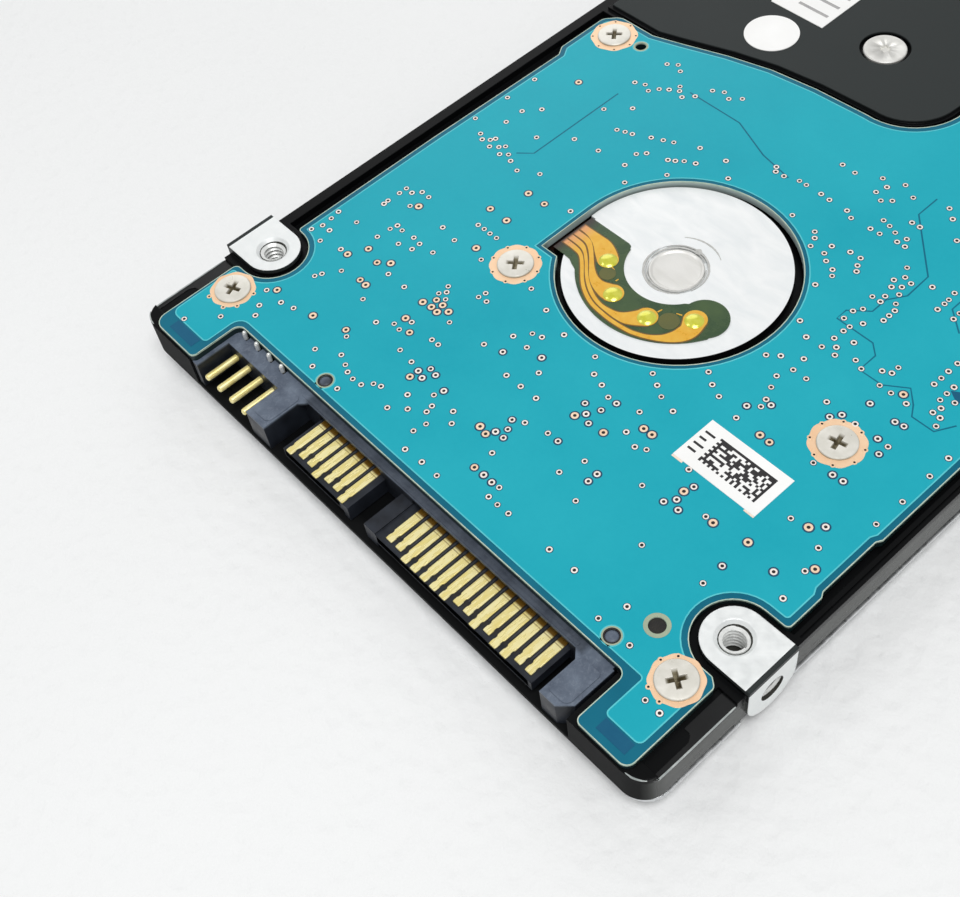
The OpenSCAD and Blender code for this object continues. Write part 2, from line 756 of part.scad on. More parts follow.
module vcm_yoke(z0, z1) {
    sector(yoke_in, yoke_out, magnet_from - 2, magnet_to + 2, z0, z1);
    // lug for the post at each end
    for (a = [magnet_from - 4, magnet_to + 1.5])
        rotate(a) translate([post_at, 0, 0]) disc(1.4, z0, z1);
}

module vcm_yoke_lower() { color([0.62, 0.63, 0.65]) at_pivot() vcm_yoke(0.6, 1.2); }
module vcm_yoke_upper() { color([0.62, 0.63, 0.65]) at_pivot() vcm_yoke(4.1, 4.9); }

module vcm_magnets() {
    color([0.7, 0.71, 0.73]) at_pivot() for (z = [[1.2, 1.85], [3.35, 4.1]])
        sector(coil_in - 0.4, coil_out - 0.4, magnet_from + 4, magnet_to - 4, z[0], z[1]);
}

module vcm_posts() {
    color([0.6, 0.6, 0.62]) at_pivot() for (a = [magnet_from - 4, magnet_to + 1.5])
        rotate(a) translate([post_at, 0, 0]) disc(0.8, 1.2, 4.1);
}

// Rubber posts just past the fork at each end of its travel
stop_turn = coil_half + 2 * fork_half + 5;

module crash_stops() {
    color([0.2, 0.2, 0.2]) at_pivot() {
        for (a = [coil_dir + stop_turn, coil_dir - stop_turn - swing])
            rotate(a) translate([7.6, 0, 0]) disc(0.55, 1.2, head_roof);
    }
}

// Ramp that lifts both head tabs clear of the platter's edge
module load_ramp() {
    zc = platter_z + platter_t / 2;
    color([0.92, 0.9, 0.84]) difference() {
        at_pivot() union() {
            sector(33.8, 35.5, arm_dir - 7.6, arm_dir + 1.5, zc - 0.62, zc + 0.62);
            sector(35.6, 38.3, arm_dir - 4, arm_dir + 2.2, zc - 0.62, head_roof);
            sector(35.4, 35.7, arm_dir - 4, arm_dir + 2.2, zc - 0.62, zc + 0.62);
        }
        at_hub() disc(platter_r + 0.3, zc - platter_t / 2 - 0.1, zc + platter_t / 2 + 0.1);
        at_hub() disc(platter_r - 1.4, 0, 9);
        at_pivot() rotate(arm_dir - 1) translate([37.2, 0, 0]) disc(0.55, 0, 9);
    }
}

module ramp_screw() {
    zc = platter_z + platter_t / 2;
    color([0.7, 0.7, 0.72]) at_pivot() rotate(arm_dir - 1) translate([37.2, 0, 0]) difference() {
        union() {
            disc(1, zc - 1.1, zc - 0.62);
            disc(0.5, zc - 0.7, head_roof + 0.4);
        }
        translate([0, 0, zc - 1.2]) cylinder(r = 0.4, h = 0.3, $fn = 6);
    }
}

// ---------------------------------------------------------------- latch and filters

latch_at = [-27.5, 24.5];

module actuator_latch() {
    color([0.85, 0.84, 0.8]) translate([latch_at[0], latch_at[1], 2.3]) difference() {
        linear_extrude(0.9) union() {
            circle(1.7);
            polygon([[-1.2, -0.6], [-0.9, -6.5], [0.9, -6.5], [1.2, -0.6]]);
            polygon([[-1, 0.5], [1, 0.5], [0.5, 3.6], [-0.9, 3.6]]);
        }
        disc(0.72, -1, 3);
    }
}

module latch_pin() {
    color([0.7, 0.7, 0.72]) translate([latch_at[0], latch_at[1], 0]) {
        disc(0.7, 1.6, head_roof);
        disc(1.1, 1.6, 2.1);
    }
}

module recirculation_filter() {
    color([0.92, 0.92, 0.9]) translate([-24.5, 17, 1.2]) rotate(40)
        translate([-3.4, -1.1, 0]) cube([6.8, 2.2, 2.9]);
}

module breather_filter() { color([0.3, 0.3, 0.31]) block(15, 22, 36.5, 42.5, cover_t, 2); }

base_casting();
top_cover();
cover_gasket();
cover_screws();
cover_label();
circuit_board();
board_screws();
controller_chip();
motor_driver_chip();
memory_chip();
board_passives();
head_connector();
sata_housing();
signal_pins();
power_pins();
jumper_pins();
matrix_label();
servo_port_seal();
info_label();
motor_flange();
bearing_cap();
motor_flex();
flex_solder_joints();
stator_core();
stator_coils();
bearing_sleeve();
spindle_shaft();
rotor_hub();
rotor_magnet();
platter();
disk_clamp();
clamp_screw();
pivot_shaft();
pivot_screw();
pivot_bearings();
actuator_arm();
voice_coil();
head_suspensions();
head_sliders();
preamp_chip();
head_flex();
flex_bracket();
vcm_yoke_lower();
vcm_yoke_upper();
vcm_magnets();
vcm_posts();
crash_stops();
load_ramp();
ramp_screw();
actuator_latch();
latch_pin();
recirculation_filter();
breather_filter();
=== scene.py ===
"""Looks for a 2.5-inch hard disk drive that lies on its cover with the circuit board on top.

Lengths are millimetres in the drive's own frame: +X along the connector edge, +Y to the rear edge,
+Z out of the board side. MM turns them into Blender's metres.
"""

import json
import math
import random

import bmesh
import bpy
from mathutils import Matrix, Vector
from mathutils.geometry import tessellate_polygon


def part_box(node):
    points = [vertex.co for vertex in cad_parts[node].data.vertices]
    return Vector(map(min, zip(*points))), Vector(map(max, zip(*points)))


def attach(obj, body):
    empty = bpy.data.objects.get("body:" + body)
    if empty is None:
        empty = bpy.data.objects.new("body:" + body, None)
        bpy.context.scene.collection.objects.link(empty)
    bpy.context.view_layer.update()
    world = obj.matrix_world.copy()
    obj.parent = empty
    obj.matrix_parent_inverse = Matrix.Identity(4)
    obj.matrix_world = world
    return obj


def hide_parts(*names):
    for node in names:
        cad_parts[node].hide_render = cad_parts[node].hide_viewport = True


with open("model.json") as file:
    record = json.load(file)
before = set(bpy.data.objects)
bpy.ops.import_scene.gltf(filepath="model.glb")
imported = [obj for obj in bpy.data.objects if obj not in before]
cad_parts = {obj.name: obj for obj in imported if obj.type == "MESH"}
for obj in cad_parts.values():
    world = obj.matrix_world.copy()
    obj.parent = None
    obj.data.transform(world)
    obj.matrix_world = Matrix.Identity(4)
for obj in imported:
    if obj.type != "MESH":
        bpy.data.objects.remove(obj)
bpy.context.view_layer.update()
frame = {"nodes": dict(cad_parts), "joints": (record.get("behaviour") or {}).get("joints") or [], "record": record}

MM = 0.001
UP = Vector((0, 0, 1))
SHARP_ANGLE = 35
COPY_SHARP_ANGLE = 30
BEVEL_ANGLE = 40
NODES = frame["nodes"]
rng = random.Random(21)


def mm_box(node):
    """Lowest and highest corner of a CAD node, in millimetres."""
    low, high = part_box(node)
    return low / MM, high / MM


def joint_xy(name):
    """Where a joint's axis crosses the plan, in millimetres."""
    place = next(j["pos_m"] for j in frame["joints"] if j["name"] == name)
    return place[0] / MM, place[1] / MM


def mount(name):
    """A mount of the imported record."""
    return next(m for m in frame["record"]["mounts"] if m["name"] == name)


BOARD_LOW, BOARD_HIGH = mm_box("circuit_board")
BASE_LOW, BASE_HIGH = mm_box("base_casting")
BOARD_TOP = BOARD_HIGH.z
BOSS_TOP = BASE_HIGH.z
FRONT = BASE_LOW.y
HUB = joint_xy("spindle_spin")
PIVOT = joint_xy("actuator_swing")
DISC_TOP = mm_box("motor_flange")[1].z
DISC_R = mm_box("motor_flange")[1].x - HUB[0]
SIDE_HOLE_Z = mount("right_side_holes")["pos_m"][2] / MM
HOLE_X = mount("bottom_holes")["dims"]["spacing_x_mm"] / 2
HOLE_MID_Y = mount("bottom_holes")["pos_m"][1] / MM
HOLE_PITCH = mount("bottom_holes")["dims"]["spacing_y_mm"]
HOLE_YS = (HOLE_MID_Y - HOLE_PITCH / 2, HOLE_MID_Y + HOLE_PITCH / 2)
TAP_R = mount("bottom_holes")["dims"]["hole_r_mm"]
FACE_EDGE_X = BASE_HIGH.x - 0.42
RAIL_TOP = BOARD_LOW.z - 0.2


# ------------------------------------------------------------------ flat outlines


def arc(centre, radius, start, end, steps=16):
    """Points along an arc, angles in degrees."""
    turns = [math.radians(start + (end - start) * i / steps) for i in range(steps + 1)]
    return [(centre[0] + radius * math.cos(t), centre[1] + radius * math.sin(t)) for t in turns]


def circle(centre, radius, steps=24):
    return arc(centre, radius, 0, 360 - 360 / steps, steps - 1)


def lobed_circle(centre, radius, depth, lobes, step):
    """Circle whose radius swings in and out by a depth, with a point every step degrees."""
    turns = [math.radians(a) for a in range(0, 360, step)]
    radii = [radius + depth * math.cos(lobes * t) for t in turns]
    return [(centre[0] + r * math.cos(t), centre[1] + r * math.sin(t)) for r, t in zip(radii, turns)]


def rectangle(x0, x1, y0, y1):
    return [(x0, y0), (x1, y0), (x1, y1), (x0, y1)]


def rounded(path, steps=5):
    """Closed path of (x, y, corner radius) with its corners rounded."""
    points = []
    for i, (x, y, radius) in enumerate(path):
        here = Vector((x, y))
        if radius == 0:
            points.append((x, y))
            continue
        before = (Vector(path[i - 1][:2]) - here).normalized()
        after = (Vector(path[(i + 1) % len(path)][:2]) - here).normalized()
        half = before.angle(after) / 2
        centre = here + (before + after).normalized() * radius / math.sin(half)
        start = here + before * radius / math.tan(half) - centre
        end = here + after * radius / math.tan(half) - centre
        turn = start.angle_signed(end)
        for k in range(steps + 1):
            points.append(tuple(centre + Matrix.Rotation(-turn * k / steps, 2) @ start))
    return points


def sharp(points):
    """Points as corners with no rounding."""
    return [(x, y, 0) for x, y in points]


def smooth_path(points, steps=6):
    """Catmull-Rom curve through points of any length, such as (x, y, half width)."""
    ends = [points[0], *points, points[-1]]
    out = []
    for i in range(len(points) - 1):
        a, b, c, d = (Vector(p) for p in ends[i : i + 4])
        for k in range(steps):
            t = k / steps
            out.append(0.5 * (2 * b + (c - a) * t + (2 * a - 5 * b + 4 * c - d) * t**2
                              + (3 * b - a - 3 * c + d) * t**3))
    return [tuple(p) for p in out] + [tuple(points[-1])]


def band(path, width=None):
    """Outline of a strip along a path of (x, y), or of (x, y, half width) where no width is given."""
    left, right = [], []
    for i, point in enumerate(path):
        here = Vector(point[:2])
        ahead = Vector(path[min(i + 1, len(path) - 1)][:2]) - Vector(path[max(i - 1, 0)][:2])
        side = Vector((-ahead.y, ahead.x)).normalized() * (width / 2 if width else point[2])
        left.append(tuple(here + side))
        right.append(tuple(here - side))
    return left + right[::-1]


# ------------------------------------------------------------------ solid pieces


class Piece:
    """Closed shapes in millimetres, gathered into one mesh that rides on a CAD body."""

    def __init__(self):
        self.points, self.faces, self.slots = [], [], []

    def add(self, points, faces, slot=0):
        start = len(self.points)
        self.points += [tuple(p) for p in points]
        self.faces += [[start + i for i in face] for face in faces]
        self.slots += [slot] * len(faces)

    def prism(self, outline, z0, z1, slot=0, holes=()):
        """Solid with an outline, holes and two flat ends."""
        loops = [outline, *holes]
        flat = [p for loop in loops for p in loop]
        count = len(flat)
        triangles = tessellate_polygon([[Vector((x, y, 0)) for x, y in loop] for loop in loops])
        faces = [list(t) for t in triangles] + [[i + count for i in t][::-1] for t in triangles]
        start = 0
        for loop in loops:
            n = len(loop)
            for i in range(n):
                a, b = start + i, start + (i + 1) % n
                faces.append([a, b, b + count, a + count])
            start += n
        self.add([(x, y, z0) for x, y in flat] + [(x, y, z1) for x, y in flat], faces, slot)

    def block(self, x0, x1, y0, y1, z0, z1, slot=0):
        self.prism(rectangle(x0, x1, y0, y1), z0, z1, slot)

    def turned(self, profile, place, slot=0, steps=32):
        """Profile of (radius, height) turned about a vertical axis; it starts and ends on the axis."""
        x, y, z = place
        ring_of = profile[1:-1]
        points = [(x, y, z + profile[0][1]), (x, y, z + profile[-1][1])]
        for radius, height in ring_of:
            points += [(px, py, z + height) for px, py in circle((x, y), radius, steps)]
        faces = []
        for i in range(steps):
            j = (i + 1) % steps
            faces.append([0, 2 + i, 2 + j])
            for k in range(len(ring_of) - 1):
                a, b = 2 + k * steps, 2 + (k + 1) * steps
                faces.append([a + i, b + i, b + j, a + j])
            last = 2 + (len(ring_of) - 1) * steps
            faces.append([1, last + j, last + i])
        self.add(points, faces, slot)

    def annulus(self, place, outer, inner, z0, z1, slot=0, steps=16):
        self.prism(circle(place, outer, steps), z0, z1, slot, [circle(place, inner, steps)])

    def sweep(self, rings, slot=0):
        """Solid through rings of equal point counts, closed at both ends."""
        n = len(rings[0])
        faces = [list(range(n)), [len(rings) * n - 1 - i for i in range(n)]]
        for k in range(len(rings) - 1):
            for i in range(n):
                j = (i + 1) % n
                faces.append([k * n + i, k * n + j, (k + 1) * n + j, (k + 1) * n + i])
        self.add([p for ring in rings for p in ring], faces, slot)

    def build(self, name, materials, slot=None, body="root", soften=0.0,
              angle=SHARP_ANGLE):
        """The finished mesh object. soften is the width of its edge rounding."""
        mesh = bpy.data.meshes.new(name)
        mesh.from_pydata([[c * MM for c in p] for p in self.points], [], self.faces)
        for material in materials:
            mesh.materials.append(material)
        mesh.polygons.foreach_set("material_index", self.slots)
        shape = bmesh.new()
        shape.from_mesh(mesh)
        bmesh.ops.recalc_face_normals(shape, faces=shape.faces)
        shape.to_mesh(mesh)
        shape.free()
        mesh.shade_smooth()
        mesh.set_sharp_from_angle(angle=math.radians(angle))
        piece = bpy.data.objects.new(name, mesh)
        bpy.context.scene.collection.objects.link(piece)
        if soften:
            edge = piece.modifiers.new("edge", "BEVEL")
            edge.width = soften * MM
            edge.segments = 2
            edge.limit_method = "ANGLE"
            edge.angle_limit = math.radians(BEVEL_ANGLE)
            edge.use_clamp_overlap = True
            edge.harden_normals = True
        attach(piece, body)
        return piece


def cut(piece, cutter):
    """Cuts one mesh object with another and removes the cutter."""
    step = piece.modifiers.new("cut", "BOOLEAN")
    step.operation = "DIFFERENCE"
    step.solver = "EXACT"
    step.object = cutter
    bpy.context.view_layer.update()
    baked = bpy.data.meshes.new_from_object(piece.evaluated_get(bpy.context.evaluated_depsgraph_get()))
    piece.modifiers.clear()
    piece.data = baked
    bpy.data.objects.remove(cutter)


def repeated(piece, places, turns):
    """Copies the piece's mesh to several plan places, turned about Z, all in one mesh."""
    source = piece.data.copy()
    whole = bmesh.new()
    for (x, y), turn in zip(places, turns):
        part = source.copy()
        spin = Matrix.Rotation(math.radians(turn), 4, "Z")
        part.transform(Matrix.Translation((x * MM, y * MM, 0)) @ spin)
        whole.from_mesh(part)
        bpy.data.meshes.remove(part)
    whole.to_mesh(piece.data)
    whole.free()
    bpy.data.meshes.remove(source)
    piece.data.set_sharp_from_angle(angle=math.radians(COPY_SHARP_ANGLE))
    return piece


# ------------------------------------------------------------------ materials


def srgb(red, green, blue):
    """Linear colour from 0 to 255 display values."""
    def line(c):
        c /= 255
        return c / 12.92 if c <= 0.04045 else ((c + 0.055) / 1.055) ** 2.4

    return line(red), line(green), line(blue), 1.0


class Surface:
    """One procedural material, with short ways to add and join its nodes."""

    def __init__(self, name, metallic=0.0, coat=0.0, coat_rough=0.1, specular=0.5):
        self.material = bpy.data.materials.new(name)
        self.material.use_nodes = True
        self.tree = self.material.node_tree
        self.shader = self.tree.nodes["Principled BSDF"]
        for socket, value in (("Metallic", metallic), ("Coat Weight", coat), ("Coat Roughness", coat_rough),
                              ("Specular IOR Level", specular)):
            self.shader.inputs[socket].default_value = value
        self.where = self.add("ShaderNodeTexCoord").outputs["Object"]

    def add(self, kind, **settings):
        made = self.tree.nodes.new(kind)
        for key, value in settings.items():
            setattr(made, key, value)
        return made

    def feed(self, socket, value):
        """Links an output to a socket, or sets a plain value on it."""
        if isinstance(value, bpy.types.NodeSocket):
            self.tree.links.new(value, socket)
        else:
            socket.default_value = value

    def stretched(self, scale):
        """Object coordinates stretched along the axes."""
        made = self.add("ShaderNodeMapping")
        self.feed(made.inputs["Vector"], self.where)
        made.inputs["Scale"].default_value = scale
        return made.outputs[0]

    def noise(self, size_mm, detail=3.0, rough=0.55, vector=None, distortion=0.0):
        """Noise with features of about size_mm, from 0 to 1."""
        made = self.add("ShaderNodeTexNoise")
        self.feed(made.inputs["Vector"], vector or self.where)
        made.inputs["Scale"].default_value = 1 / (size_mm * MM)
        made.inputs["Detail"].default_value = detail
        made.inputs["Roughness"].default_value = rough
        made.inputs["Distortion"].default_value = distortion
        return made.outputs[0]

    def wave(self, scale, distortion, **settings):
        """Strength of a wave texture. A higher scale gives finer waves."""
        made = self.add("ShaderNodeTexWave", **settings)
        self.feed(made.inputs["Vector"], self.where)
        made.inputs["Scale"].default_value = scale
        made.inputs["Distortion"].default_value = distortion
        return made.outputs[1]

    def cells(self, size_mm):
        """Distance to the middle of soft-edged cells of about size_mm."""
        made = self.add("ShaderNodeTexVoronoi", feature="SMOOTH_F1")
        self.feed(made.inputs["Vector"], self.where)
        made.inputs["Scale"].default_value = 1 / (size_mm * MM)
        return made.outputs["Distance"]

    def math(self, operation, a, b=0.0, c=0.0):
        made = self.add("ShaderNodeMath", operation=operation)
        for socket, value in zip(made.inputs, (a, b, c)):
            self.feed(socket, value)
        return made.outputs[0]

    def times(self, a, b):
        return self.math("MULTIPLY", a, b)

    def plus(self, a, b):
        return self.math("ADD", a, b)

    def most(self, a, b):
        return self.math("MAXIMUM", a, b)

    def above(self, value, limit):
        return self.math("GREATER_THAN", value, limit)

    def below(self, value, limit):
        return self.math("LESS_THAN", value, limit)

    def span(self, value, low, high, to_low=0.0, to_high=1.0, smooth=False):
        """Maps low..high of a value to to_low..to_high, clamped."""
        made = self.add("ShaderNodeMapRange", interpolation_type="SMOOTHSTEP" if smooth else "LINEAR")
        for socket, v in zip(made.inputs, (value, low, high, to_low, to_high)):
            self.feed(socket, v)
        return made.outputs[0]

    def middle(self, noise, to_low=0.0, to_high=1.0):
        """Spreads the middle of a noise, where most of it lies, from to_low to to_high."""
        return self.span(noise, 0.3, 0.7, to_low, to_high)

    def blend(self, factor, a, b):
        """Mix of two colours."""
        made = self.add("ShaderNodeMix", data_type="RGBA")
        self.feed(made.inputs[0], factor)
        self.feed(made.inputs[6], a)
        self.feed(made.inputs[7], b)
        return made.outputs[2]

    def place(self):
        """Object coordinates x, y and z in millimetres."""
        scaled = self.add("ShaderNodeVectorMath", operation="SCALE")
        self.feed(scaled.inputs[0], self.where)
        scaled.inputs["Scale"].default_value = 1 / MM
        parts = self.add("ShaderNodeSeparateXYZ")
        self.feed(parts.inputs[0], scaled.outputs[0])
        return parts.outputs[0], parts.outputs[1], parts.outputs[2]

    def distance(self, value, centre):
        return self.math("ABSOLUTE", self.math("SUBTRACT", value, centre))

    def radius_from(self, u, v, centre):
        """Distance in a plane from a centre."""
        du = self.math("SUBTRACT", u, centre[0])
        dv = self.math("SUBTRACT", v, centre[1])
        squares = self.math("ADD", self.math("MULTIPLY", du, du), self.math("MULTIPLY", dv, dv))
        return self.math("SQRT", squares)

    def finish(self, colour, rough, height=None, bump=0.3, depth_mm=0.01, round_mm=0.0, metallic=None):
        """Sets the shader's inputs: height makes a bump, round_mm softens the edges' shading."""
        self.feed(self.shader.inputs["Base Color"], colour)
        self.feed(self.shader.inputs["Roughness"], rough)
        if metallic is not None:
            self.feed(self.shader.inputs["Metallic"], metallic)
        normal = None
        if round_mm:
            edge = self.add("ShaderNodeBevel", samples=4)
            edge.inputs["Radius"].default_value = round_mm * MM
            normal = edge.outputs[0]
        if height is not None:
            relief = self.add("ShaderNodeBump")
            relief.inputs["Strength"].default_value = bump
            relief.inputs["Distance"].default_value = depth_mm * MM
            self.feed(relief.inputs["Height"], height)
            if normal:
                self.feed(relief.inputs["Normal"], normal)
            normal = relief.outputs[0]
        if normal:
            self.feed(self.shader.inputs["Normal"], normal)
        return self.material


def grained(name, colour, other, rough, metallic=0.0, patch_mm=3.0, grain_mm=0.12, bump=0.25,
            depth_mm=0.01, round_mm=0.04, coat=0.0, stretch=None):
    """A plain material of two close colours in soft patches, with fine grain in its relief."""
    s = Surface(name, metallic, coat)
    vector = s.stretched(stretch) if stretch else None
    patches = s.noise(patch_mm, 4, vector=vector)
    grain = s.noise(grain_mm, 2, vector=vector)
    shade = s.span(s.plus(s.times(patches, 0.7), s.times(grain, 0.3)), 0.35, 0.65)
    return s.finish(s.blend(shade, colour, other), s.middle(patches, *rough),
                    grain, bump, depth_mm, round_mm)


COUNTERSINK_R = 1.78


def casting_coat():
    """Black electrocoat over the whole casting, matt grey-black on the raised faces, with the mounting faces and
    holes machined bare. The side flanks carry a painted reflection of the floor in streaks, and the bores' walls
    are painted dark as shade.
    """
    s = Surface("coated_casting", specular=0.1)
    x, y, z = s.place()
    side = s.math("ABSOLUTE", x)
    row = s.distance(y, HOLE_MID_Y)
    top = s.times(s.above(z, BOSS_TOP - 0.04), s.below(side, FACE_EDGE_X))
    flank = s.times(s.above(side, BASE_HIGH.x - 0.05), s.below(z, BOSS_TOP - 0.5))
    bore = s.below(s.radius_from(side, row, (HOLE_X, HOLE_PITCH / 2)), COUNTERSINK_R)
    side_bore = s.below(s.radius_from(row, z, (HOLE_PITCH / 2, SIDE_HOLE_Z)), TAP_R + 0.03)
    side_bore = s.times(side_bore, s.above(side, BASE_HIGH.x - 3))
    bare = s.most(s.most(top, flank), s.most(bore, side_bore))
    peel = s.noise(0.35, 2)
    haze = s.noise(9, 3)
    raised = s.span(z, BOARD_TOP - 0.25, BOARD_TOP - 0.05)
    paint = s.blend(haze, srgb(9, 10, 11), srgb(16, 17, 18))
    paint = s.blend(raised, paint, srgb(50, 54, 54))
    rail_z = BOARD_LOW.z + 0.2
    # painted reflection of the floor: a pale grey band in streaks down the side flanks, below the rail's top edge
    sheen_streaks = s.span(s.noise(2.2, 4, vector=s.stretched((1, 0.12, 1))), 0.25, 0.6, 0.7, 1)
    painted_sheen = s.times(s.span(z, rail_z - 0.62, rail_z - 0.9), s.span(side, 33.6, 34.4))
    painted_sheen = s.times(s.times(painted_sheen, sheen_streaks), s.above(z, BASE_LOW.z + 0.42))
    paint = s.blend(painted_sheen, paint, srgb(72, 74, 72))
    front = s.times(s.span(y, FRONT + 1.6, FRONT + 0.9), s.below(z, rail_z - 0.04))
    matt = s.times(s.most(raised, s.times(front, 3)), 0.14)
    paint_rough = s.plus(s.middle(haze, 0.2, 0.3), matt)
    milled = s.wave(900, 3, wave_type="RINGS", rings_direction="Z")
    smear = s.noise(0.9, 4)
    metal = s.blend(smear, srgb(234, 238, 238), srgb(249, 251, 250))
    # painted shade: the machined metal is darkened down inside the bores
    inside = s.most(side_bore, s.times(bore, s.below(z, BOSS_TOP - 0.3)))
    metal = s.blend(inside, metal, srgb(66, 66, 62))
    colour = s.blend(bare, paint, metal)
    rough = s.add("ShaderNodeMix", data_type="FLOAT")
    s.feed(rough.inputs[0], bare)
    s.feed(rough.inputs[2], paint_rough)
    s.feed(rough.inputs[3], s.middle(smear, 0.3, 0.5))
    milling = s.times(milled, s.times(bare, 0.5))
    relief = s.plus(s.times(peel, 0.35), milling)
    return s.finish(colour, rough.outputs[0], relief, 0.22, 0.012, 0.13, s.times(bare, 0.45))


def turned_metal(name, light, dark, rough, metallic, rim_r=99, ring_pitch=0.09):
    """Metal turned about the spindle, with fine rings, smears and scratches, and painted black shade past rim_r.
    """
    s = Surface(name, metallic)
    x, y, _ = s.place()
    radius = s.radius_from(x, y, HUB)
    rings = s.math("SINE", s.times(radius, 2 * math.pi / ring_pitch))
    smear = s.noise(4.5, 5, vector=s.stretched((1, 2.6, 1)), distortion=0.6)
    scratch = s.span(s.noise(0.7, 2, vector=s.stretched((9, 0.6, 1)), distortion=1.5), 0.68, 0.72)
    shade = s.plus(s.span(smear, 0.35, 0.7), s.times(scratch, 0.25))
    # past rim_r the metal is painted black as shade in the gap round the disc
    metal = s.blend(s.span(radius, rim_r - 0.03, rim_r), s.blend(shade, light, dark), srgb(8, 8, 9))
    return s.finish(metal, s.middle(smear, *rough), rings, 0.25, 0.004, 0.05)


def solder_mask(name, near, far):
    """Glossy lacquer over copper and glass cloth, with the weave just showing."""
    s = Surface(name, specular=0.25)
    tone = s.noise(14, 3)
    speck = s.noise(0.5, 3)
    warp, weft = (s.wave(420, 0.4, wave_type="BANDS", bands_direction=axis) for axis in "XY")
    weave = s.times(warp, weft)
    mixed = s.plus(s.times(tone, 0.8), s.times(speck, 0.2))
    return s.finish(s.blend(s.middle(mixed), near, far), s.middle(tone, 0.3, 0.42),
                    s.plus(speck, s.times(weave, 0.4)), 0.1, 0.006)


def board_laminate():
    """The bare board: lacquer on its faces, and cut sides pale at the top, with painted shade below on the outer
    sides and painted light from the disc on the motor window's walls.
    """
    s = Surface("board_laminate", specular=0.25)
    x, y, z = s.place()
    facing = s.add("ShaderNodeSeparateXYZ")
    s.feed(facing.inputs[0], s.add("ShaderNodeNewGeometry").outputs["Normal"])
    flat = s.above(s.math("ABSOLUTE", facing.outputs[2]), 0.5)
    fray = s.noise(0.12, 3)
    lip = s.plus(z, s.times(fray, 0.1))
    pale = s.span(lip, BOARD_TOP - 0.14, BOARD_TOP - 0.06)
    # painted light and shade on the cut sides: dark on the outer edges, pale grey-green on the motor window's
    # walls
    window = s.span(s.radius_from(x, y, HUB), 13.4, 12.9)
    shade = s.blend(window, srgb(22, 40, 42), srgb(168, 184, 182))
    cloth = s.blend(pale, shade, srgb(182, 200, 186))
    tone = s.noise(6, 3)
    lacquer = s.blend(s.middle(tone), srgb(0, 94, 118), srgb(0, 106, 130))
    return s.finish(s.blend(flat, cloth, lacquer), s.middle(tone, 0.3, 0.42), fray, 0.15, 0.008)


def plastic(name, low, high, scuff):
    """Moulded plastic with fine grain and pale scuffs."""
    s = Surface(name, specular=0.5)
    cloud = s.noise(1.6, 5)
    grain = s.noise(0.06, 2)
    marks = s.span(s.noise(0.5, 6, 0.7, distortion=1.2), 0.5, 0.8)
    colour = s.blend(s.middle(cloud), low, high)
    colour = s.blend(s.times(marks, scuff), colour, srgb(150, 158, 170))
    return s.finish(colour, s.middle(cloud, 0.35, 0.55), grain, 0.3, 0.006, 0.06)


def connector_plastic():
    """Slate plastic with pale scuffs, its top faces painted lighter as lit, its wells and the tops along the bar
    behind the tongues painted dark as shade.
    """
    s = Surface("slate_plastic", specular=0.3)
    x, y, z = s.place()
    cloud = s.noise(1.6, 5)
    marks = s.span(s.noise(0.5, 6, 0.7, distortion=1.2), 0.5, 0.8)
    # painted light: the top faces get a lighter slate, as if lit from above
    top = s.blend(s.middle(cloud), srgb(76, 85, 100), srgb(106, 117, 132))
    top = s.blend(s.times(marks, 0.35), top, srgb(150, 158, 170))
    # painted shade: the wells are near-black, and the tops along the bar behind the tongues are darkened too
    painted_well_shade = s.blend(s.middle(cloud), srgb(24, 27, 33), srgb(38, 43, 52))
    across = s.times(s.span(x, -14.2, -13.6), s.span(x, 23.2, 22.6))
    bar = s.times(s.span(y, -45.4, -45.0), across)
    off_bar = s.math("SUBTRACT", 1, s.times(bar, 0.6))
    high = s.times(s.span(z, BOARD_LOW.z - 0.28, BOARD_LOW.z - 0.06), off_bar)
    return s.finish(s.blend(high, painted_well_shade, top), s.middle(cloud, 0.34, 0.55), s.noise(0.06, 2),
                    0.3, 0.006, 0.06)


def gold_plate():
    """Smooth gold, with painted shadow where the contacts pass under the lip and a thin painted dark line just in
    front of it.
    """
    s = Surface("gold_plate", metallic=0.35)
    _, y, _ = s.place()
    smear = s.noise(0.9, 3, vector=s.stretched((2.5, 0.6, 1)))
    bright = s.blend(s.span(smear, 0.35, 0.65), srgb(244, 226, 142), srgb(251, 241, 182))
    # painted shadow under the lip, and a painted dark line along its front edge
    shaded = s.times(s.span(y, -45.5, -45.3), s.below(y, -43))
    ledge_shade_line = s.times(s.above(y, -45.68), s.below(y, -45.56))
    bright = s.blend(s.times(ledge_shade_line, 0.55), bright, srgb(116, 84, 26))
    return s.finish(s.blend(shaded, bright, srgb(112, 82, 26)), s.middle(smear, 0.2, 0.34),
                    s.noise(0.3, 2), 0.04, 0.004, 0.03)


def nickel_plate():
    """Bright plated screw head, painted dark as shade under its rim and down in its recess."""
    s = Surface("nickel_plate", metallic=0.35)
    _, _, z = s.place()
    smear = s.noise(1.4, 4)
    plate = s.blend(s.span(smear, 0.35, 0.65), srgb(224, 221, 210), srgb(236, 233, 224))
    # painted shade: the metal below the head's top is darkened to an olive brown
    low = s.span(z, BOARD_TOP + 0.02, BOARD_TOP + 0.24)
    painted_recess_shade = s.blend(s.span(smear, 0.45, 0.6), srgb(104, 94, 70), srgb(156, 148, 124))
    return s.finish(s.blend(low, painted_recess_shade, plate), s.middle(smear, 0.26, 0.42),
                    s.noise(0.07, 2), 0.15, 0.006, 0.04)


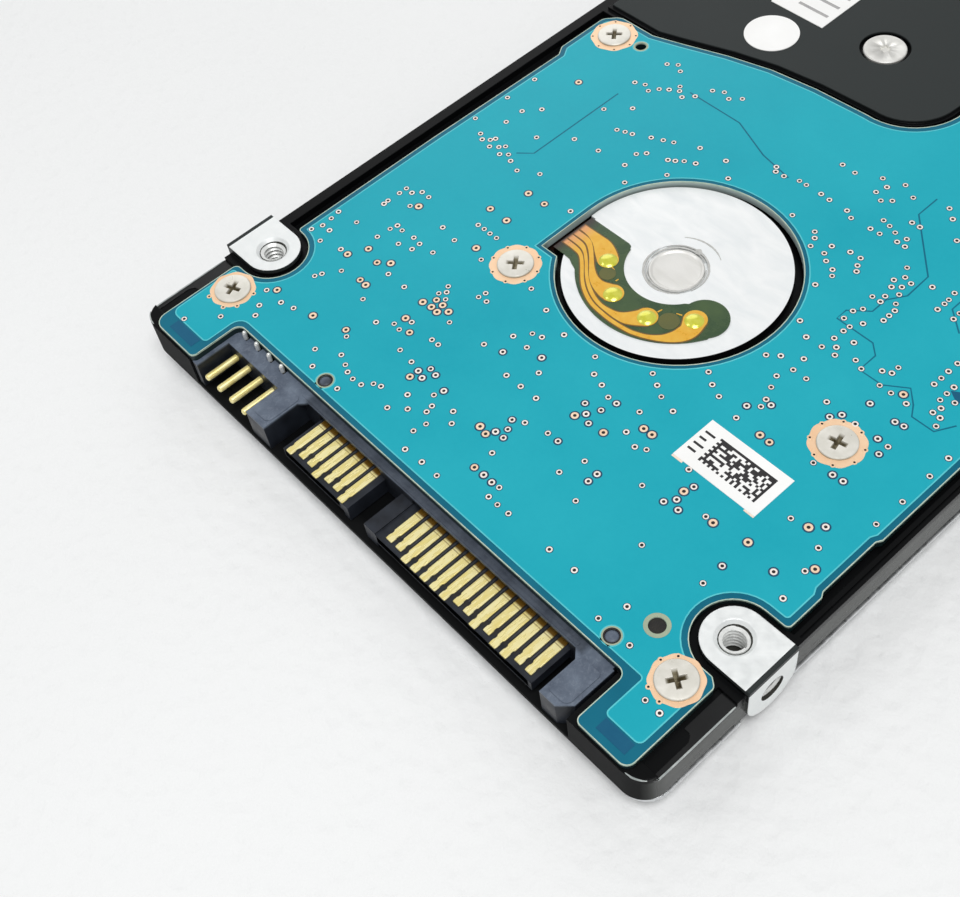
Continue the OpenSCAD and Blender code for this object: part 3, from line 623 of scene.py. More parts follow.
def flex_circuit():
    """Dark green film, painted dark brown as shade near the left, where it turns down."""
    s = Surface("flex_film", coat=0.6, coat_rough=0.12)
    x, _, _ = s.place()
    cloud = s.noise(1.8, 3)
    green = s.blend(s.middle(cloud), srgb(36, 66, 36), srgb(58, 84, 40))
    # painted shade: the film darkens towards the left edge, where it bends down
    turn = s.span(x, HUB[0] - 10.8, HUB[0] - 9.2, smooth=True)
    return s.finish(s.blend(turn, srgb(38, 22, 16), green), s.middle(cloud, 0.22, 0.34),
                    s.noise(0.4, 2), 0.1, 0.01)


def flex_copper():
    """Copper under amber film, with painted light and shade where the ribbon turns down at the left: pinker, then
    nearly black at the very edge.
    """
    s = Surface("flex_copper", metallic=0.1, coat=0.5, coat_rough=0.15)
    x, _, _ = s.place()
    cloud = s.noise(0.9, 3)
    gold = s.blend(s.middle(cloud), srgb(226, 166, 38), srgb(232, 184, 66))
    # painted light and shade at the bend: peach, then nearly black at the left edge
    turn = s.span(x, HUB[0] - 10.7, HUB[0] - 8.6, smooth=True)
    bend_shade_edge = s.span(x, HUB[0] - 10.75, HUB[0] - 10.3, smooth=True)
    side = s.blend(bend_shade_edge, srgb(60, 30, 20), srgb(222, 156, 106))
    return s.finish(s.blend(turn, side, gold), s.middle(cloud, 0.25, 0.4), cloud, 0.12, 0.02)


def paper_label():
    """Coated label stock with faint fibres."""
    s = Surface("label_stock", specular=0.35)
    fibre = s.noise(0.25, 5, 0.65)
    tone = s.noise(5, 3)
    return s.finish(s.blend(s.middle(tone), srgb(238, 238, 236), srgb(246, 246, 245)),
                    s.middle(fibre, 0.42, 0.6), fibre, 0.12, 0.006)


M = {
    "casting": casting_coat(),
    "board": board_laminate(),
    "pour": solder_mask("copper_pour", srgb(14, 158, 176), srgb(26, 168, 184)),
    # a painted highlight along the copper field's edges
    "pour_edge_highlight": grained("pour_edge_highlight", srgb(70, 188, 200), srgb(90, 200, 208), (0.25, 0.35)),
    "trace": solder_mask("buried_trace", srgb(0, 96, 122), srgb(4, 108, 132)),
    "navy": solder_mask("inner_plane", srgb(10, 80, 114), srgb(22, 96, 126)),
    "clearance": grained("via_clearance", srgb(16, 62, 92), srgb(24, 78, 108), (0.25, 0.35)),
    "cut_edge": grained("cut_edge", srgb(152, 188, 172), srgb(206, 214, 196), (0.5, 0.7), patch_mm=0.8,
                        grain_mm=0.1, depth_mm=0.03),
    "via": grained("via_ring", srgb(250, 236, 226), srgb(255, 250, 244), (0.3, 0.45), 0.25, 0.8, 0.1),
    "big_via": grained("big_via_ring", srgb(250, 214, 180), srgb(252, 226, 198), (0.3, 0.45), 0.25, 0.8,
                       0.1),
    # dark discs of painted shade where holes are: in the vias, the pad vias and round the pegs
    "hole": grained("via_hole_shade", srgb(18, 8, 8), srgb(30, 12, 10), (0.5, 0.7)),
    "pad": grained("bare_copper", srgb(250, 206, 164), srgb(253, 218, 182), (0.3, 0.42), 0.3, 2.5, 0.1),
    "nickel": nickel_plate(),
    "slate": connector_plastic(),
    "slot": grained("painted_slot_shade", srgb(10, 10, 11), srgb(20, 20, 22), (0.5, 0.7)),
    "gold": gold_plate(),
    "shaded_gold": grained("shaded_gold", srgb(120, 92, 30), srgb(146, 114, 44), (0.3, 0.45), 0.7, 0.7,
                           0.06),
    "gloss": grained("gloss_coat", srgb(10, 11, 12), srgb(18, 19, 20), (0.16, 0.26), patch_mm=6,
                     grain_mm=0.4, bump=0.1, round_mm=0.1),
    "adhesive": grained("adhesive_marks", srgb(176, 176, 172), srgb(200, 200, 197), (0.25, 0.4), 0.1, 0.4,
                        0.08),
    "faint_ink": grained("faint_ink", srgb(150, 150, 152), srgb(176, 174, 172), (0.4, 0.55), patch_mm=0.8),
    "crest": grained("thread_crests", srgb(222, 224, 222), srgb(244, 245, 243), (0.25, 0.4), 0.2, 0.6,
                     0.08),
    "solder": grained("tin_solder", srgb(222, 224, 222), srgb(238, 239, 236), (0.16, 0.3), 0.5, 0.5, 0.08),
    "disc": turned_metal("motor_disc", srgb(246, 248, 248), srgb(232, 236, 237), (0.3, 0.46), 0.25,
                         rim_r=DISC_R - 0.02),
    "dimple": turned_metal("bearing_cap_metal", srgb(236, 235, 231), srgb(222, 221, 216), (0.35, 0.5),
                           0.45),
    "flex": flex_circuit(),
    "flex_copper": flex_copper(),
    # pale grey strips of painted highlight on the casting's edges
    "painted_edge_highlight": grained("painted_edge_highlight", srgb(150, 158, 157), srgb(196, 202, 200), (0.2, 0.3), 0.2, 1.2),
    # the slate plastic painted in its shaded colour, for the ribs between the contacts
    "shaded_slate": plastic("shaded_slate_plastic", srgb(24, 27, 33), srgb(40, 45, 54), scuff=0.15),
    "flex_gap": grained("flex_gap", srgb(124, 86, 24), srgb(104, 76, 30), (0.3, 0.4), coat=0.5),
    "flex_patch": grained("flex_patch", srgb(100, 98, 40), srgb(84, 88, 40), (0.25, 0.4), coat=0.5),
    "joint": grained("lacquered_joint", srgb(214, 214, 52), srgb(232, 230, 92), (0.12, 0.25), 0.35, 0.6,
                     0.1, 0.2, 0.03, 0.05, 0.8),
    "label": paper_label(),
    "backing": grained("label_backing", srgb(236, 216, 196), srgb(242, 226, 210), (0.5, 0.6)),
    "ink": grained("printed_ink", srgb(26, 24, 26), srgb(40, 38, 40), (0.4, 0.55), grain_mm=0.05),
    "ring_mask": grained("faint_ring", srgb(168, 180, 152), srgb(146, 160, 140), (0.35, 0.5)),
    "foam": grained("black_foam", srgb(14, 13, 12), srgb(44, 42, 38), (0.7, 0.9), patch_mm=0.4,
                    grain_mm=0.12, bump=0.8, depth_mm=0.06),
    "sheet": grained("cover_sheet", srgb(206, 208, 210), srgb(226, 228, 229), (0.24, 0.38), 0.95, 6, 0.08,
                     0.12, 0.006, 0.12, stretch=(1, 9, 1)),
    "screw": grained("plated_screw", srgb(184, 184, 188), srgb(206, 206, 208), (0.22, 0.36), 0.9, 1.5),
    "steel": grained("yoke_steel", srgb(186, 188, 192), srgb(206, 208, 211), (0.28, 0.4), 0.95, 3, 0.1),
    "machined": grained("machined_alloy", srgb(204, 206, 210), srgb(224, 226, 228), (0.25, 0.4), 0.95, 2,
                        0.08, stretch=(6, 1, 1)),
    "mirror": grained("platter_film", srgb(228, 229, 233), srgb(236, 237, 240), (0.02, 0.05), 1.0, 20, 0.5,
                      0.02, 0.002, 0.0),
    "core": grained("stator_steel", srgb(96, 97, 104), srgb(122, 123, 128), (0.35, 0.5), 0.8, 1, 0.1),
    "magnet": grained("magnet_plate", srgb(122, 124, 130), srgb(150, 151, 155), (0.3, 0.42), 0.9, 2, 0.1),
    "wire": grained("coil_wire", srgb(196, 108, 52), srgb(218, 136, 70), (0.28, 0.4), 0.7, 1, 0.08, 0.5,
                    0.03, 0.03, 0.4, (1, 1, 12)),
    "bronze": grained("sintered_bronze", srgb(178, 150, 96), srgb(196, 170, 112), (0.4, 0.55), 0.8, 1,
                      0.06),
    "amber": grained("amber_film", srgb(186, 116, 34), srgb(206, 136, 50), (0.2, 0.35), 0.1, 2, 0.2,
                     coat=0.5),
    "cream": plastic("cream_plastic", srgb(214, 206, 182), srgb(226, 220, 200), scuff=0.1),
    "epoxy": grained("moulded_epoxy", srgb(26, 26, 28), srgb(38, 38, 40), (0.45, 0.6), grain_mm=0.05),
    "ceramic": grained("ceramic_body", srgb(150, 122, 92), srgb(172, 142, 108), (0.35, 0.5), patch_mm=1),
    "rubber": grained("black_rubber", srgb(28, 28, 28), srgb(42, 42, 42), (0.65, 0.8), grain_mm=0.06),
    "felt": grained("white_felt", srgb(226, 226, 222), srgb(242, 242, 238), (0.85, 0.95), patch_mm=0.5,
                    grain_mm=0.09, bump=0.8, depth_mm=0.08),
    "carbon": grained("carbon_felt", srgb(30, 30, 31), srgb(52, 52, 54), (0.85, 0.95), patch_mm=0.5,
                      grain_mm=0.1, bump=0.8, depth_mm=0.08),
}

CAD_LOOKS = {
    "casting": ["base_casting"],
    "sheet": ["top_cover"],
    "rubber": ["cover_gasket", "crash_stops"],
    "label": ["cover_label", "servo_port_seal", "info_label", "matrix_label"],
    "board": ["circuit_board"],
    "epoxy": ["controller_chip", "motor_driver_chip", "memory_chip", "head_sliders", "preamp_chip"],
    "ceramic": ["board_passives"],
    "cream": ["head_connector", "flex_bracket", "load_ramp", "actuator_latch"],
    "slate": ["sata_housing"],
    "disc": ["motor_flange"],
    "dimple": ["bearing_cap"],
    "core": ["stator_core"],
    "wire": ["stator_coils", "voice_coil"],
    "bronze": ["bearing_sleeve"],
    "steel": ["spindle_shaft", "pivot_shaft", "pivot_bearings", "head_suspensions", "vcm_yoke_lower",
              "vcm_yoke_upper", "vcm_posts"],
    "machined": ["rotor_hub", "disk_clamp", "actuator_arm"],
    "magnet": ["rotor_magnet", "vcm_magnets"],
    "mirror": ["platter"],
    "screw": ["clamp_screw", "ramp_screw", "latch_pin"],
    "amber": ["head_flex"],
    "felt": ["recirculation_filter"],
    "carbon": ["breather_filter"],
}
for look, nodes in CAD_LOOKS.items():
    for name in nodes:
        NODES[name].data.materials.clear()
        NODES[name].data.materials.append(M[look])


# ------------------------------------------------------------------ circuit board


def face_loops(node, level):
    """Outlines of a CAD node's flat top at a height, each with the face on its left."""
    mesh = NODES[node].data
    spots = [(round(v.co.x / MM, 3), round(v.co.y / MM, 3)) for v in mesh.vertices]
    edges = set()
    for face in mesh.polygons:
        if face.normal.z > 0.9 and abs(face.center.z / MM - level) < 0.01:
            ring = [spots[i] for i in face.vertices]
            edges.update(zip(ring, ring[1:] + ring[:1]))
    following = {a: b for a, b in edges if (b, a) not in edges}
    loops = []
    while following:
        loop = [min(following)]
        while loop[-1] in following:
            loop.append(following.pop(loop[-1]))
        loops.append(loop[:-1])
    return loops


def loop_width(loop):
    return max(p[0] for p in loop) - min(p[0] for p in loop)


def moved_in(loop, distance):
    """Closed outline moved towards the left of its own direction."""
    out = []
    for i, point in enumerate(loop):
        here = Vector(point)
        before = (here - Vector(loop[i - 1])).normalized()
        after = (Vector(loop[(i + 1) % len(loop)]) - here).normalized()
        side = Vector((-before.y - after.y, before.x + after.x))
        out.append(tuple(here + side * distance / max(side.length_squared / 2, 0.6)))
    return out


# tops of the thin layers that lie on the board
FILM = 0.02
POUR_TOP = BOARD_TOP + FILM
TRACE_TOP = POUR_TOP + 0.003
RIM_TOP = POUR_TOP + 0.004
CLEARANCE_TOP = POUR_TOP + 0.006
EDGE_TOP = BOARD_TOP + 0.012
PAD_TOP = POUR_TOP + 0.012
RING_TOP = POUR_TOP + 0.02
PAD_RING_TOP = POUR_TOP + 0.028
VIA_TOP = POUR_TOP + 0.03

BOARD_LOOPS = sorted(face_loops("circuit_board", BOARD_TOP), key=len, reverse=True)
BOARD_EDGE = max(BOARD_LOOPS, key=loop_width)
BOARD_HOLES = [loop for loop in BOARD_LOOPS if loop is not BOARD_EDGE]
POUR_INSET = 0.6
BOSS_CUT_R = 4.2
REAR_ARC, REAR_ARC_R = (0.3, 24.5), 7.1
SCREW_PLACES = [(-29.7, -41.9), (-11.5, -20.6), (24.3, -15.9), (30.1, -41.8), (-28.7, 10.1), (29, 29.5)]
FRONT_SCREWS = (0, 3)


def pour_outline():
    """Edge of the copper field under the lacquer, a little inside the board's edge."""
    left, right = BOARD_LOW.x, BOARD_HIGH.x - POUR_INSET
    front, rear = BOARD_LOW.y + 1.95, BOARD_HIGH.y - POUR_INSET
    hole = HOLE_YS[0]
    return rounded([
        (left + 0.3, front, 0.9), (-26.1, front, 0.5), (-26.1, -43.5, 1.2), (28.1, -43.5, 0.3),
        (28.1, front + 0.1, 0.5), (31.95, front + 0.1, 0.6), (31.95, -40.6, 0.4), (31.3, -40.2, 0),
        *sharp(arc((HOLE_X, hole), BOSS_CUT_R, 268, 92, 20)),
        (right, -31.8, 0.4), (right, -28.6, 0.2), (right - 0.3, -28.0, 0.2), (right - 0.3, -21.4, 0.2),
        (right, -20.8, 0.2), (right, rear, 0.9), (REAR_ARC[0] + REAR_ARC_R, rear, 1.2),
        *sharp(arc(REAR_ARC, REAR_ARC_R, 0, -94, 14)),
        (-6.5, 17.1, 0), (-12, 16.4, 0), (-17, 15.1, 0), (-22, 13.4, 0), (-25.5, 12.3, 0),
        (-30.1, 12.3, 1.3), (-31.2, 11.2, 0.8), (-31.2, 5.2, 0.4), (-30.5, 4.1, 0.4), (-30.8, -14, 1),
        (-30.8, -31.75, 0), *sharp(arc((-HOLE_X, hole), BOSS_CUT_R, 88, -88, 20)), (left + 0.3, -40.2, 0.4),
    ])


def hole_margin(loop):
    """The field keeps further away from the motor window than from the small holes."""
    return 0.45 if loop_width(loop) > 5 else 0.2


def make_board_field():
    outline = pour_outline()
    holes = [moved_in(loop, hole_margin(loop)) for loop in BOARD_HOLES]
    field = Piece()
    field.prism(outline, BOARD_TOP, POUR_TOP, holes=holes)
    field.build("copper_field", [M["pour"]], "board")
    # painted highlight: a lighter teal strip along each edge of the copper field
    rim = Piece()
    for loop in (outline, *holes):
        rim.prism(loop, BOARD_TOP, RIM_TOP, holes=[moved_in(loop, 0.13)])
    rim.build("field_rim_highlight", [M["pour_edge_highlight"]], "board")
    edge = Piece()
    for loop in BOARD_LOOPS:
        edge.prism(loop, BOARD_TOP - 0.05, EDGE_TOP, holes=[moved_in(loop, 0.09)])
    edge.build("board_cut_edge", [M["cut_edge"]], "board")


def make_inner_planes():
    """An inner plane that shows dark at the two front corners and in one spot of the field."""
    planes = Piece()
    for x0, x1, y0, y1 in ((28.5, 31.6, 0.75, 1.9), (-30.4, -26.7, 0.7, 1.8)):
        planes.prism(rectangle(x0, x1, BOARD_LOW.y + y0, BOARD_LOW.y + y1), BOARD_TOP, POUR_TOP)
    planes.prism([(27.6, -4.9), (28.6, -4.3), (29.7, -4.6), (29.6, -5.6), (28.4, -5.4)], POUR_TOP, RIM_TOP)
    planes.build("inner_planes", [M["navy"]], "board")


TRACES = [
    [(12.4, 13), (12.4, 10.2), (18, 4.4), (18.1, 1.3), (17, -0.4), (17, -2.3), (15.2, -3.8), (15.2, -5.1),
     (19.4, -5.2), (20.5, -6.2), (20.5, -8.4), (23, -8.4), (25, -7), (26.3, -8.3), (27, -9.4), (29.3, -9.4),
     (30.3, -7.6)],
    [(22, 4.6), (22, 2.7), (24.2, 0.8)],
    [(-21.6, 3.6), (-21.6, -8.7), (-23, -9.9)],
    [(-16, 8.7), (-9, 8.6), (-4, 6.6), (0, 5.8)],
]


def make_traces():
    """Runs without copper that show through the lacquer as darker lines."""
    lines = Piece()
    for path in TRACES:
        lines.prism(band(path, 0.16), POUR_TOP, TRACE_TOP)
    lines.build("board_traces", [M["trace"]], "board")


# radii of the ring, the hole and the clearance
VIA_SIZES = {"plain": (0.275, 0.155, 0.34), "ringed": (0.3, 0.155, 0.45), "big": (0.36, 0.165, 0.5)}
# The places below were read one by one, as (x, y) of a plain hole or (x, y, kind). Their y runs a little too long
# away from the front mounting holes, and READ_SCALE shortens it.
READ_FROM_Y, READ_SCALE = -36, 0.943
RINGED, BIG = "ringed", "big"
HOLE_READINGS = [
    # front right
    (11.1, -16.6), (12.3, -17.4), (13.6, -18.1), (7.6, -20.3), (8.8, -21), (10, -21.8), (11.8, -22.3),
    (2.4, -22.6), (3.8, -24.2), (5.2, -24.7), (9.8, -24.5), (6.6, -25.3), (7.6, -25.3, RINGED),
    (11.3, -25.6, BIG), (12.3, -25.6, BIG), (5.6, -27.3, RINGED), (7.2, -26.9, RINGED),
    (6.5, -28.1, RINGED), (5.9, -29, BIG), (7.4, -28.8, RINGED), (9.1, -28.6, BIG), (10.5, -27),
    (13.1, -27.2), (12.1, -27.7), (0, -27.8), (0, -30.2), (2, -30.2), (5.6, -32.2), (6.9, -32.2, RINGED),
    (10.1, -32.1), (11.8, -32.3, RINGED), (11.8, -33.4, RINGED), (3.3, -32.8), (2.2, -33.5, RINGED),
    (2.7, -34.5, RINGED), (2.1, -35.5, RINGED), (3.1, -35.5, RINGED), (0.7, -36.1, BIG), (1.6, -36.3, BIG),
    (9.3, -34.5), (12.5, -35.7), (3.6, -37.4), (3.6, -39.6, BIG), (4.8, -39.6, RINGED),
    (5.9, -39.6, RINGED), (6.8, -39.5), (6.8, -40.9), (8, -40.9), (9.3, -40.9), (14.4, -40.9),
    (17.3, -40.8), (-0.2, -42.7), (1.9, -42.7),
    # right of the label
    (15.4, -30.3), (18.7, -27.2, RINGED), (18.4, -28.1, BIG), (18.5, -29.2, RINGED), (17.9, -30.2, RINGED),
    (19.3, -30, RINGED), (21.4, -28.8), (22.3, -28.8, BIG), (25.6, -28.1, BIG), (25.6, -31.5, RINGED),
    (25.6, -33.9), (19.6, -34.8), (28.9, -28.9, RINGED), (31.1, -30.3), (30.6, -27), (31.1, -26.2, BIG),
    (30, -24.4), (28.1, -23.4, BIG), (29.1, -22.3, RINGED), (26.5, -23.7), (17.1, -26.1), (16.3, -18.8),
    (19, -18.8, BIG), (20.1, -18.8, BIG), (16.1, -17.1, RINGED), (17, -16.3), (24.2, -17.9),
    (26.1, -17.7, RINGED), (27.2, -17.5, RINGED), (31.8, -19.1), (22.8, -40.1), (25.4, -42.6),
    (21.9, -42.7), (29.6, -45.2), (31.1, -45.2),
    # front left
    (-18.2, -18.5), (-17.3, -18.5), (-16.4, -18.5), (-15.5, -18.5), (-16, -20.9, BIG), (-20.6, -21.4),
    (-18.4, -21.7), (-14.4, -21.7), (-26, -19.4), (-24.9, -19.4), (-27.6, -20.2), (-26.7, -20.2),
    (-27.6, -21.2), (-24.7, -21, BIG), (-25.4, -21.7), (-27.7, -22.7), (-27.6, -23.4), (-24.2, -24.4),
    (-23.3, -24.5), (-21.7, -24.4), (-20.6, -24.6), (-18.7, -24.4), (-24.4, -25.3), (-20.6, -25.6),
    (-22.2, -26.1), (-24.5, -27), (-27.7, -27.2), (-17.3, -29.6), (-19.8, -29.6), (-21.8, -29.4, BIG),
    (-20.7, -28.5, BIG), (-23.9, -28.8, BIG), (-30.3, -27.5), (-30.1, -28.7), (-30, -30), (-28.9, -30),
    (-28.4, -31.5), (-30.4, -31.1), (-25.9, -30.8), (-24.9, -30.8, BIG), (-21.2, -32.2, BIG),
    (-20.3, -32.2, BIG), (-23.6, -32.7), (-19.1, -33.7), (-24.7, -34.4), (-25, -35.2), (-17.2, -37.5, BIG),
    (-16.5, -38), (-21, -38.7, BIG), (-26.3, -39.1, BIG), (-27.1, -39.8), (-24.7, -39.8), (-23.2, -39.4),
    (-17.5, -41.2), (-26, -41.6), (-25.2, -42.8), (-27.7, -45.3), (-16, -42.8), (-30.1, -48.2),
    # front middle
    (-10.8, -24.4), (-11, -25.3), (-10, -25.2), (-8, -20.8), (-5, -21.8), (-1.6, -22.8), (-3.8, -24.9),
    (-2.9, -24.5), (-4.9, -26.4), (-3, -26.5), (-1.1, -26.4, RINGED), (-14.2, -26.5), (-13.7, -27.1),
    (-14.2, -27.7), (-13.1, -27.8), (-13.7, -28.5, BIG), (-12.7, -28.6, BIG), (-11.7, -28.7, BIG),
    (-14.5, -29.6, BIG), (-13.4, -29.5, BIG), (-12.5, -29.5, BIG), (-10.6, -29.5), (-6.2, -29.1),
    (-4.2, -28.5, RINGED), (-1.9, -30.2), (-14.1, -32.3, BIG), (-13.3, -32.2), (-12.5, -33.2, BIG),
    (-14.4, -33.6), (-13.5, -33.7), (-10.2, -32.3), (-9.3, -32.3), (-15.8, -34.7), (-11.5, -35.4),
    (-9.6, -35.6), (-7.6, -34.8, RINGED), (-6.7, -34.9, RINGED), (-8.3, -35.8, RINGED),
    (-7.4, -36.1, RINGED), (-8.3, -36.8, BIG), (-4.8, -35.7, RINGED), (-5.1, -36.7), (-2.4, -36.7),
    (-4.2, -37.7), (-4.1, -38.5), (-1.4, -37.8), (-6.9, -38.4), (-5.6, -39.6), (-3.1, -39.5),
    (-15.1, -39.8), (-13.9, -40.4), (-13, -40.8), (-12, -41), (-10.9, -40.9), (-10.2, -39.9), (-9.4, -39.6),
    (-7.1, -40.9), (-3.3, -40.9), (-12.2, -42.8), (-2.3, -42.8),
    # middle left
    (-26.1, 4.4, BIG), (-18.8, 5.2), (-21, 3), (-9.4, 5.6), (-6.2, 5.9), (-4.3, 4.1), (-12, 4.3),
    (-13, 3.8), (-14.2, 3.2), (-8.2, 3.4), (-9.3, 2.9), (-10, 2.3), (-10.6, 1.9), (-16, 2.3), (-16.8, 2),
    (-17.7, 1.6), (-12.9, 1.1), (-13.6, 0.3), (-9.2, 0.2), (-30, 1.4), (-25.9, -1.5), (-20, -2.5),
    (-16.9, -2.1), (-13.4, -1.7), (-11.6, -3.7), (-30.1, -2.8), (-27.3, -3.2), (-23.1, -5.1), (-27.3, -5.7),
    (-30.2, -7.6), (-18.9, -8.9), (-21, -10.1), (-12.7, -10.5), (-17.7, -11.7, BIG), (-15.4, -11.7, BIG),
    (-19, -16.1, BIG), (-16.5, -16.1, BIG), (-28, -8.8), (-27.2, -9.4), (-26.5, -8.9), (-25.8, -9.6),
    (-25, -9), (-24.2, -9.7), (-23.4, -9.1), (-22.6, -9.6), (-26.2, -8.3), (-24.6, -8.4),
    # rear left
    (-18, 10.2), (-17, 10.8), (-16.1, 10.2), (-15.2, 11.3), (-17.4, 11.4), (-21.5, 8.5), (-20.4, 9.1),
    (-19.5, 8.5), (-18.8, 9.5), (-21, 13.2), (-20, 13.9), (-19.1, 13.3), (-14.4, 13.2), (-13.3, 14),
    (-12.3, 13.4), (-11.2, 14.4),
    # rear middle
    (6.8, 14.7), (7.9, 14), (9, 15.4), (10.6, 14.5), (2.7, 13.5), (4.3, 13.4), (7.5, 12.7), (9.4, 12.8),
    (8.6, 12), (12.6, 11.6), (13.5, 11.6), (14, 15.6), (15.1, 14.7), (17.1, 12.6), (10.5, 10), (11.4, 9.8),
    (12.3, 9.4), (13.6, 9.5), (13.2, 8.5), (14.1, 8.5), (10.3, 8.2), (11.3, 8.2), (7.1, 8.6), (8, 8.1),
    (4.9, 8.6), (3.8, 8.8), (2, 8.8), (1.1, 8.7), (-0.5, 8.2), (-1.5, 8.1), (-1.9, 8.7), (3.7, 4.4),
    (6.7, 4.2), (7.2, 3.4), (7.6, 2.4), (9.1, 3.8), (10.8, 4.4), (12, 4.4), (12.4, 3.5), (12.8, 2.7),
    (9.2, 2.5), (9.9, 1.9), (11.1, 1.3), (11.6, 0.7),
    # rear right
    (15.9, 6.4), (16.5, 5.3), (17.4, 5), (16, 4.3), (17.1, 4.1), (16.4, 3.5), (17.5, 3.1), (16.7, 2.1),
    (18, 2), (15.9, 1.2), (16.8, 1.2), (18.4, 1.2), (18.4, 0.4), (18.4, -0.5), (16.2, -0.7), (15.7, -1.5),
    (17.3, -2.1), (15.7, -2.8), (16.7, -3.2), (16.6, -4.1), (18.2, -4.5), (16.6, -5.4), (17.4, -6.1),
    (16.4, -6.9), (17.9, -6.9), (19.6, -6.1), (20.6, -6.5), (14.7, -7.1), (11.1, -1.3), (13, -5.9),
    (21, 6.8), (21.1, 5.8), (21.1, 5), (21.1, 4.1), (22.8, 5), (22.8, 4.1), (19.1, 6), (26.2, 0),
    (26.2, -1.3), (26.2, -2.4), (26.2, -3.4), (27.6, -2.5), (27.6, -3.5), (27.6, -4.5), (28.7, -3.9),
    (28.2, -5.2), (28, -6.1), (28.8, -6.2), (29.1, -7.2), (22.8, -4.1), (22.8, -5), (22, -5.5),
    (25, -6.3, BIG), (22.9, -6.9), (24.1, -6.9), (25.8, -6.9),
    # right middle
    (23.6, -9.2, RINGED), (26.3, -9.3, RINGED), (27.2, -9.2, RINGED), (31.9, -9.3), (31.9, -11.9),
    (31.9, -15.7), (16.2, -9.3), (14.5, -10.4), (13.5, -11.3), (16.3, -11), (17.8, -11), (20.8, -11.7),
    (22.6, -11.9, RINGED), (24.1, -11.9), (26.4, -11.8, RINGED), (27.6, -11.9), (22, -12.9, RINGED),
    (27.5, -13.1, RINGED), (15.7, -12.6), (16.2, -13.9), (16.8, -15.3), (17.6, -15.5, RINGED),
]

def via_places(kind):
    """Places of the holes of one kind, at the board's true scale."""
    read = [(x, y) for x, y, *mark in HOLE_READINGS if (mark or ["plain"]) == [kind]]
    return [(x, round(READ_FROM_Y + READ_SCALE * (y - READ_FROM_Y), 1)) for x, y in read]


def make_vias():
    """Plated through holes: a tinned ring, a dark disc of painted shade for the hole, and a clearance round it."""
    rings, holes, gaps = Piece(), Piece(), Piece()
    for kind, (ring_r, hole_r, gap_r) in VIA_SIZES.items():
        for place in via_places(kind):
            x, y = place[0] + rng.uniform(-0.04, 0.04), place[1] + rng.uniform(-0.04, 0.04)
            size = rng.uniform(0.92, 1.08)
            gaps.prism(circle((x, y), gap_r * size, 16), BOARD_TOP, CLEARANCE_TOP)
            rings.annulus((x, y), ring_r * size, hole_r, BOARD_TOP, VIA_TOP, 1 if kind == "big" else 0)
            holes.prism(circle((x, y), hole_r, 12), BOARD_TOP, PAD_TOP)
    rings.build("via_rings", [M["via"], M["big_via"]], "solder", soften=0.012)
    holes.build("via_hole_shades", [M["hole"]], "board")
    gaps.build("via_clearances", [M["clearance"]], "board")


# offsets of the vias in the rims of the two front pads
PAD_VIAS = {
    0: [(2.0, 1.1), (2.1, -1.0), (1.2, -2.05), (-1.0, -2.2)],
    3: [(-1.35, 1.6), (-2.1, 0.4), (-1.15, -1.95), (0.3, -2.25)],
}


def make_screw_pads():
    """Bare copper rings under the screw heads, with small vias in their rims."""
    pads = Piece()
    for i, place in enumerate(SCREW_PLACES):
        outer = 2.28 if i in FRONT_SCREWS else 2.55
        wavy = lobed_circle(place, outer, outer * 0.025, 8, 6)
        pads.prism(wavy, BOARD_TOP, PAD_TOP, 0, [circle(place, 1.1, 32)])
        rim = PAD_VIAS.get(i) or arc((0, 0), outer * 0.93, 12 + 7 * i, 332 + 7 * i, 7)
        for dx, dy in rim:
            spot = (place[0] + dx, place[1] + dy)
            pads.annulus(spot, 0.25, 0.11, BOARD_TOP, PAD_RING_TOP)
            # the small vias' holes are dark discs of painted shade
            pads.prism(circle(spot, 0.12, 12), BOARD_TOP, RING_TOP, 1)
    pads.build("screw_pads", [M["pad"], M["hole"]], "copper", soften=0.01)


PEG_XS, PEG_Y = (-13.8, 23.8), -42.6
FOAM_HOLE = (25.7, -39.4)
REAR_HOLE = (-25.2, 10.7)


def make_locating_pegs():
    """Domed ends of the connector's pegs, their holes and a foam-filled hole beside them."""
    pegs = Piece()
    for x in PEG_XS:
        pegs.turned([(0, -0.5), (0.58, -0.5), (0.58, -0.02), (0.52, 0.05), (0.33, 0.1), (0, 0.12)],
                    (x, PEG_Y, BOARD_TOP - 0.1), 0, 28)
    pegs.build("peg_domes", [M["slate"]], "connector_plastic")
    rings = Piece()
    rings.annulus(FOAM_HOLE, 1.14, 0.76, BOARD_TOP, RING_TOP, 0, 28)
    for x in PEG_XS:
        rings.annulus((x, PEG_Y), 0.88, 0.74, BOARD_TOP, PAD_TOP, 0, 28)
        # a dark ring of painted shade in the gap round each peg
        rings.annulus((x, PEG_Y), 0.75, 0.6, BOARD_TOP, POUR_TOP, 1, 28)
    rings.annulus(REAR_HOLE, 0.82, 0.62, BOARD_TOP, PAD_TOP, 0, 24)
    rings.build("hole_rings", [M["ring_mask"], M["hole"]], "board")
    foam = Piece()
    foam.turned([(0, -0.7), (0.75, -0.7), (0.75, -0.1), (0, -0.06)], (*FOAM_HOLE, BOARD_TOP), 0, 24)
    foam.build("hole_foam", [M["foam"]], "black_rubber")


# ------------------------------------------------------------------ fasteners

SCREW_TURNS = (22, 40, 12, 58, 40, 5)
COVER_SCREW_PLACES = [(-30.8, -46.6), (30.8, -46.6), (-31.2, 16.5), (31.2, 16.5), (-31.2, 46.4),
                      (31.2, 46.4), (8, 46.8)]
COVER_SCREW_TURNS = (0, 10, 25, 40, 5, 33, 18)

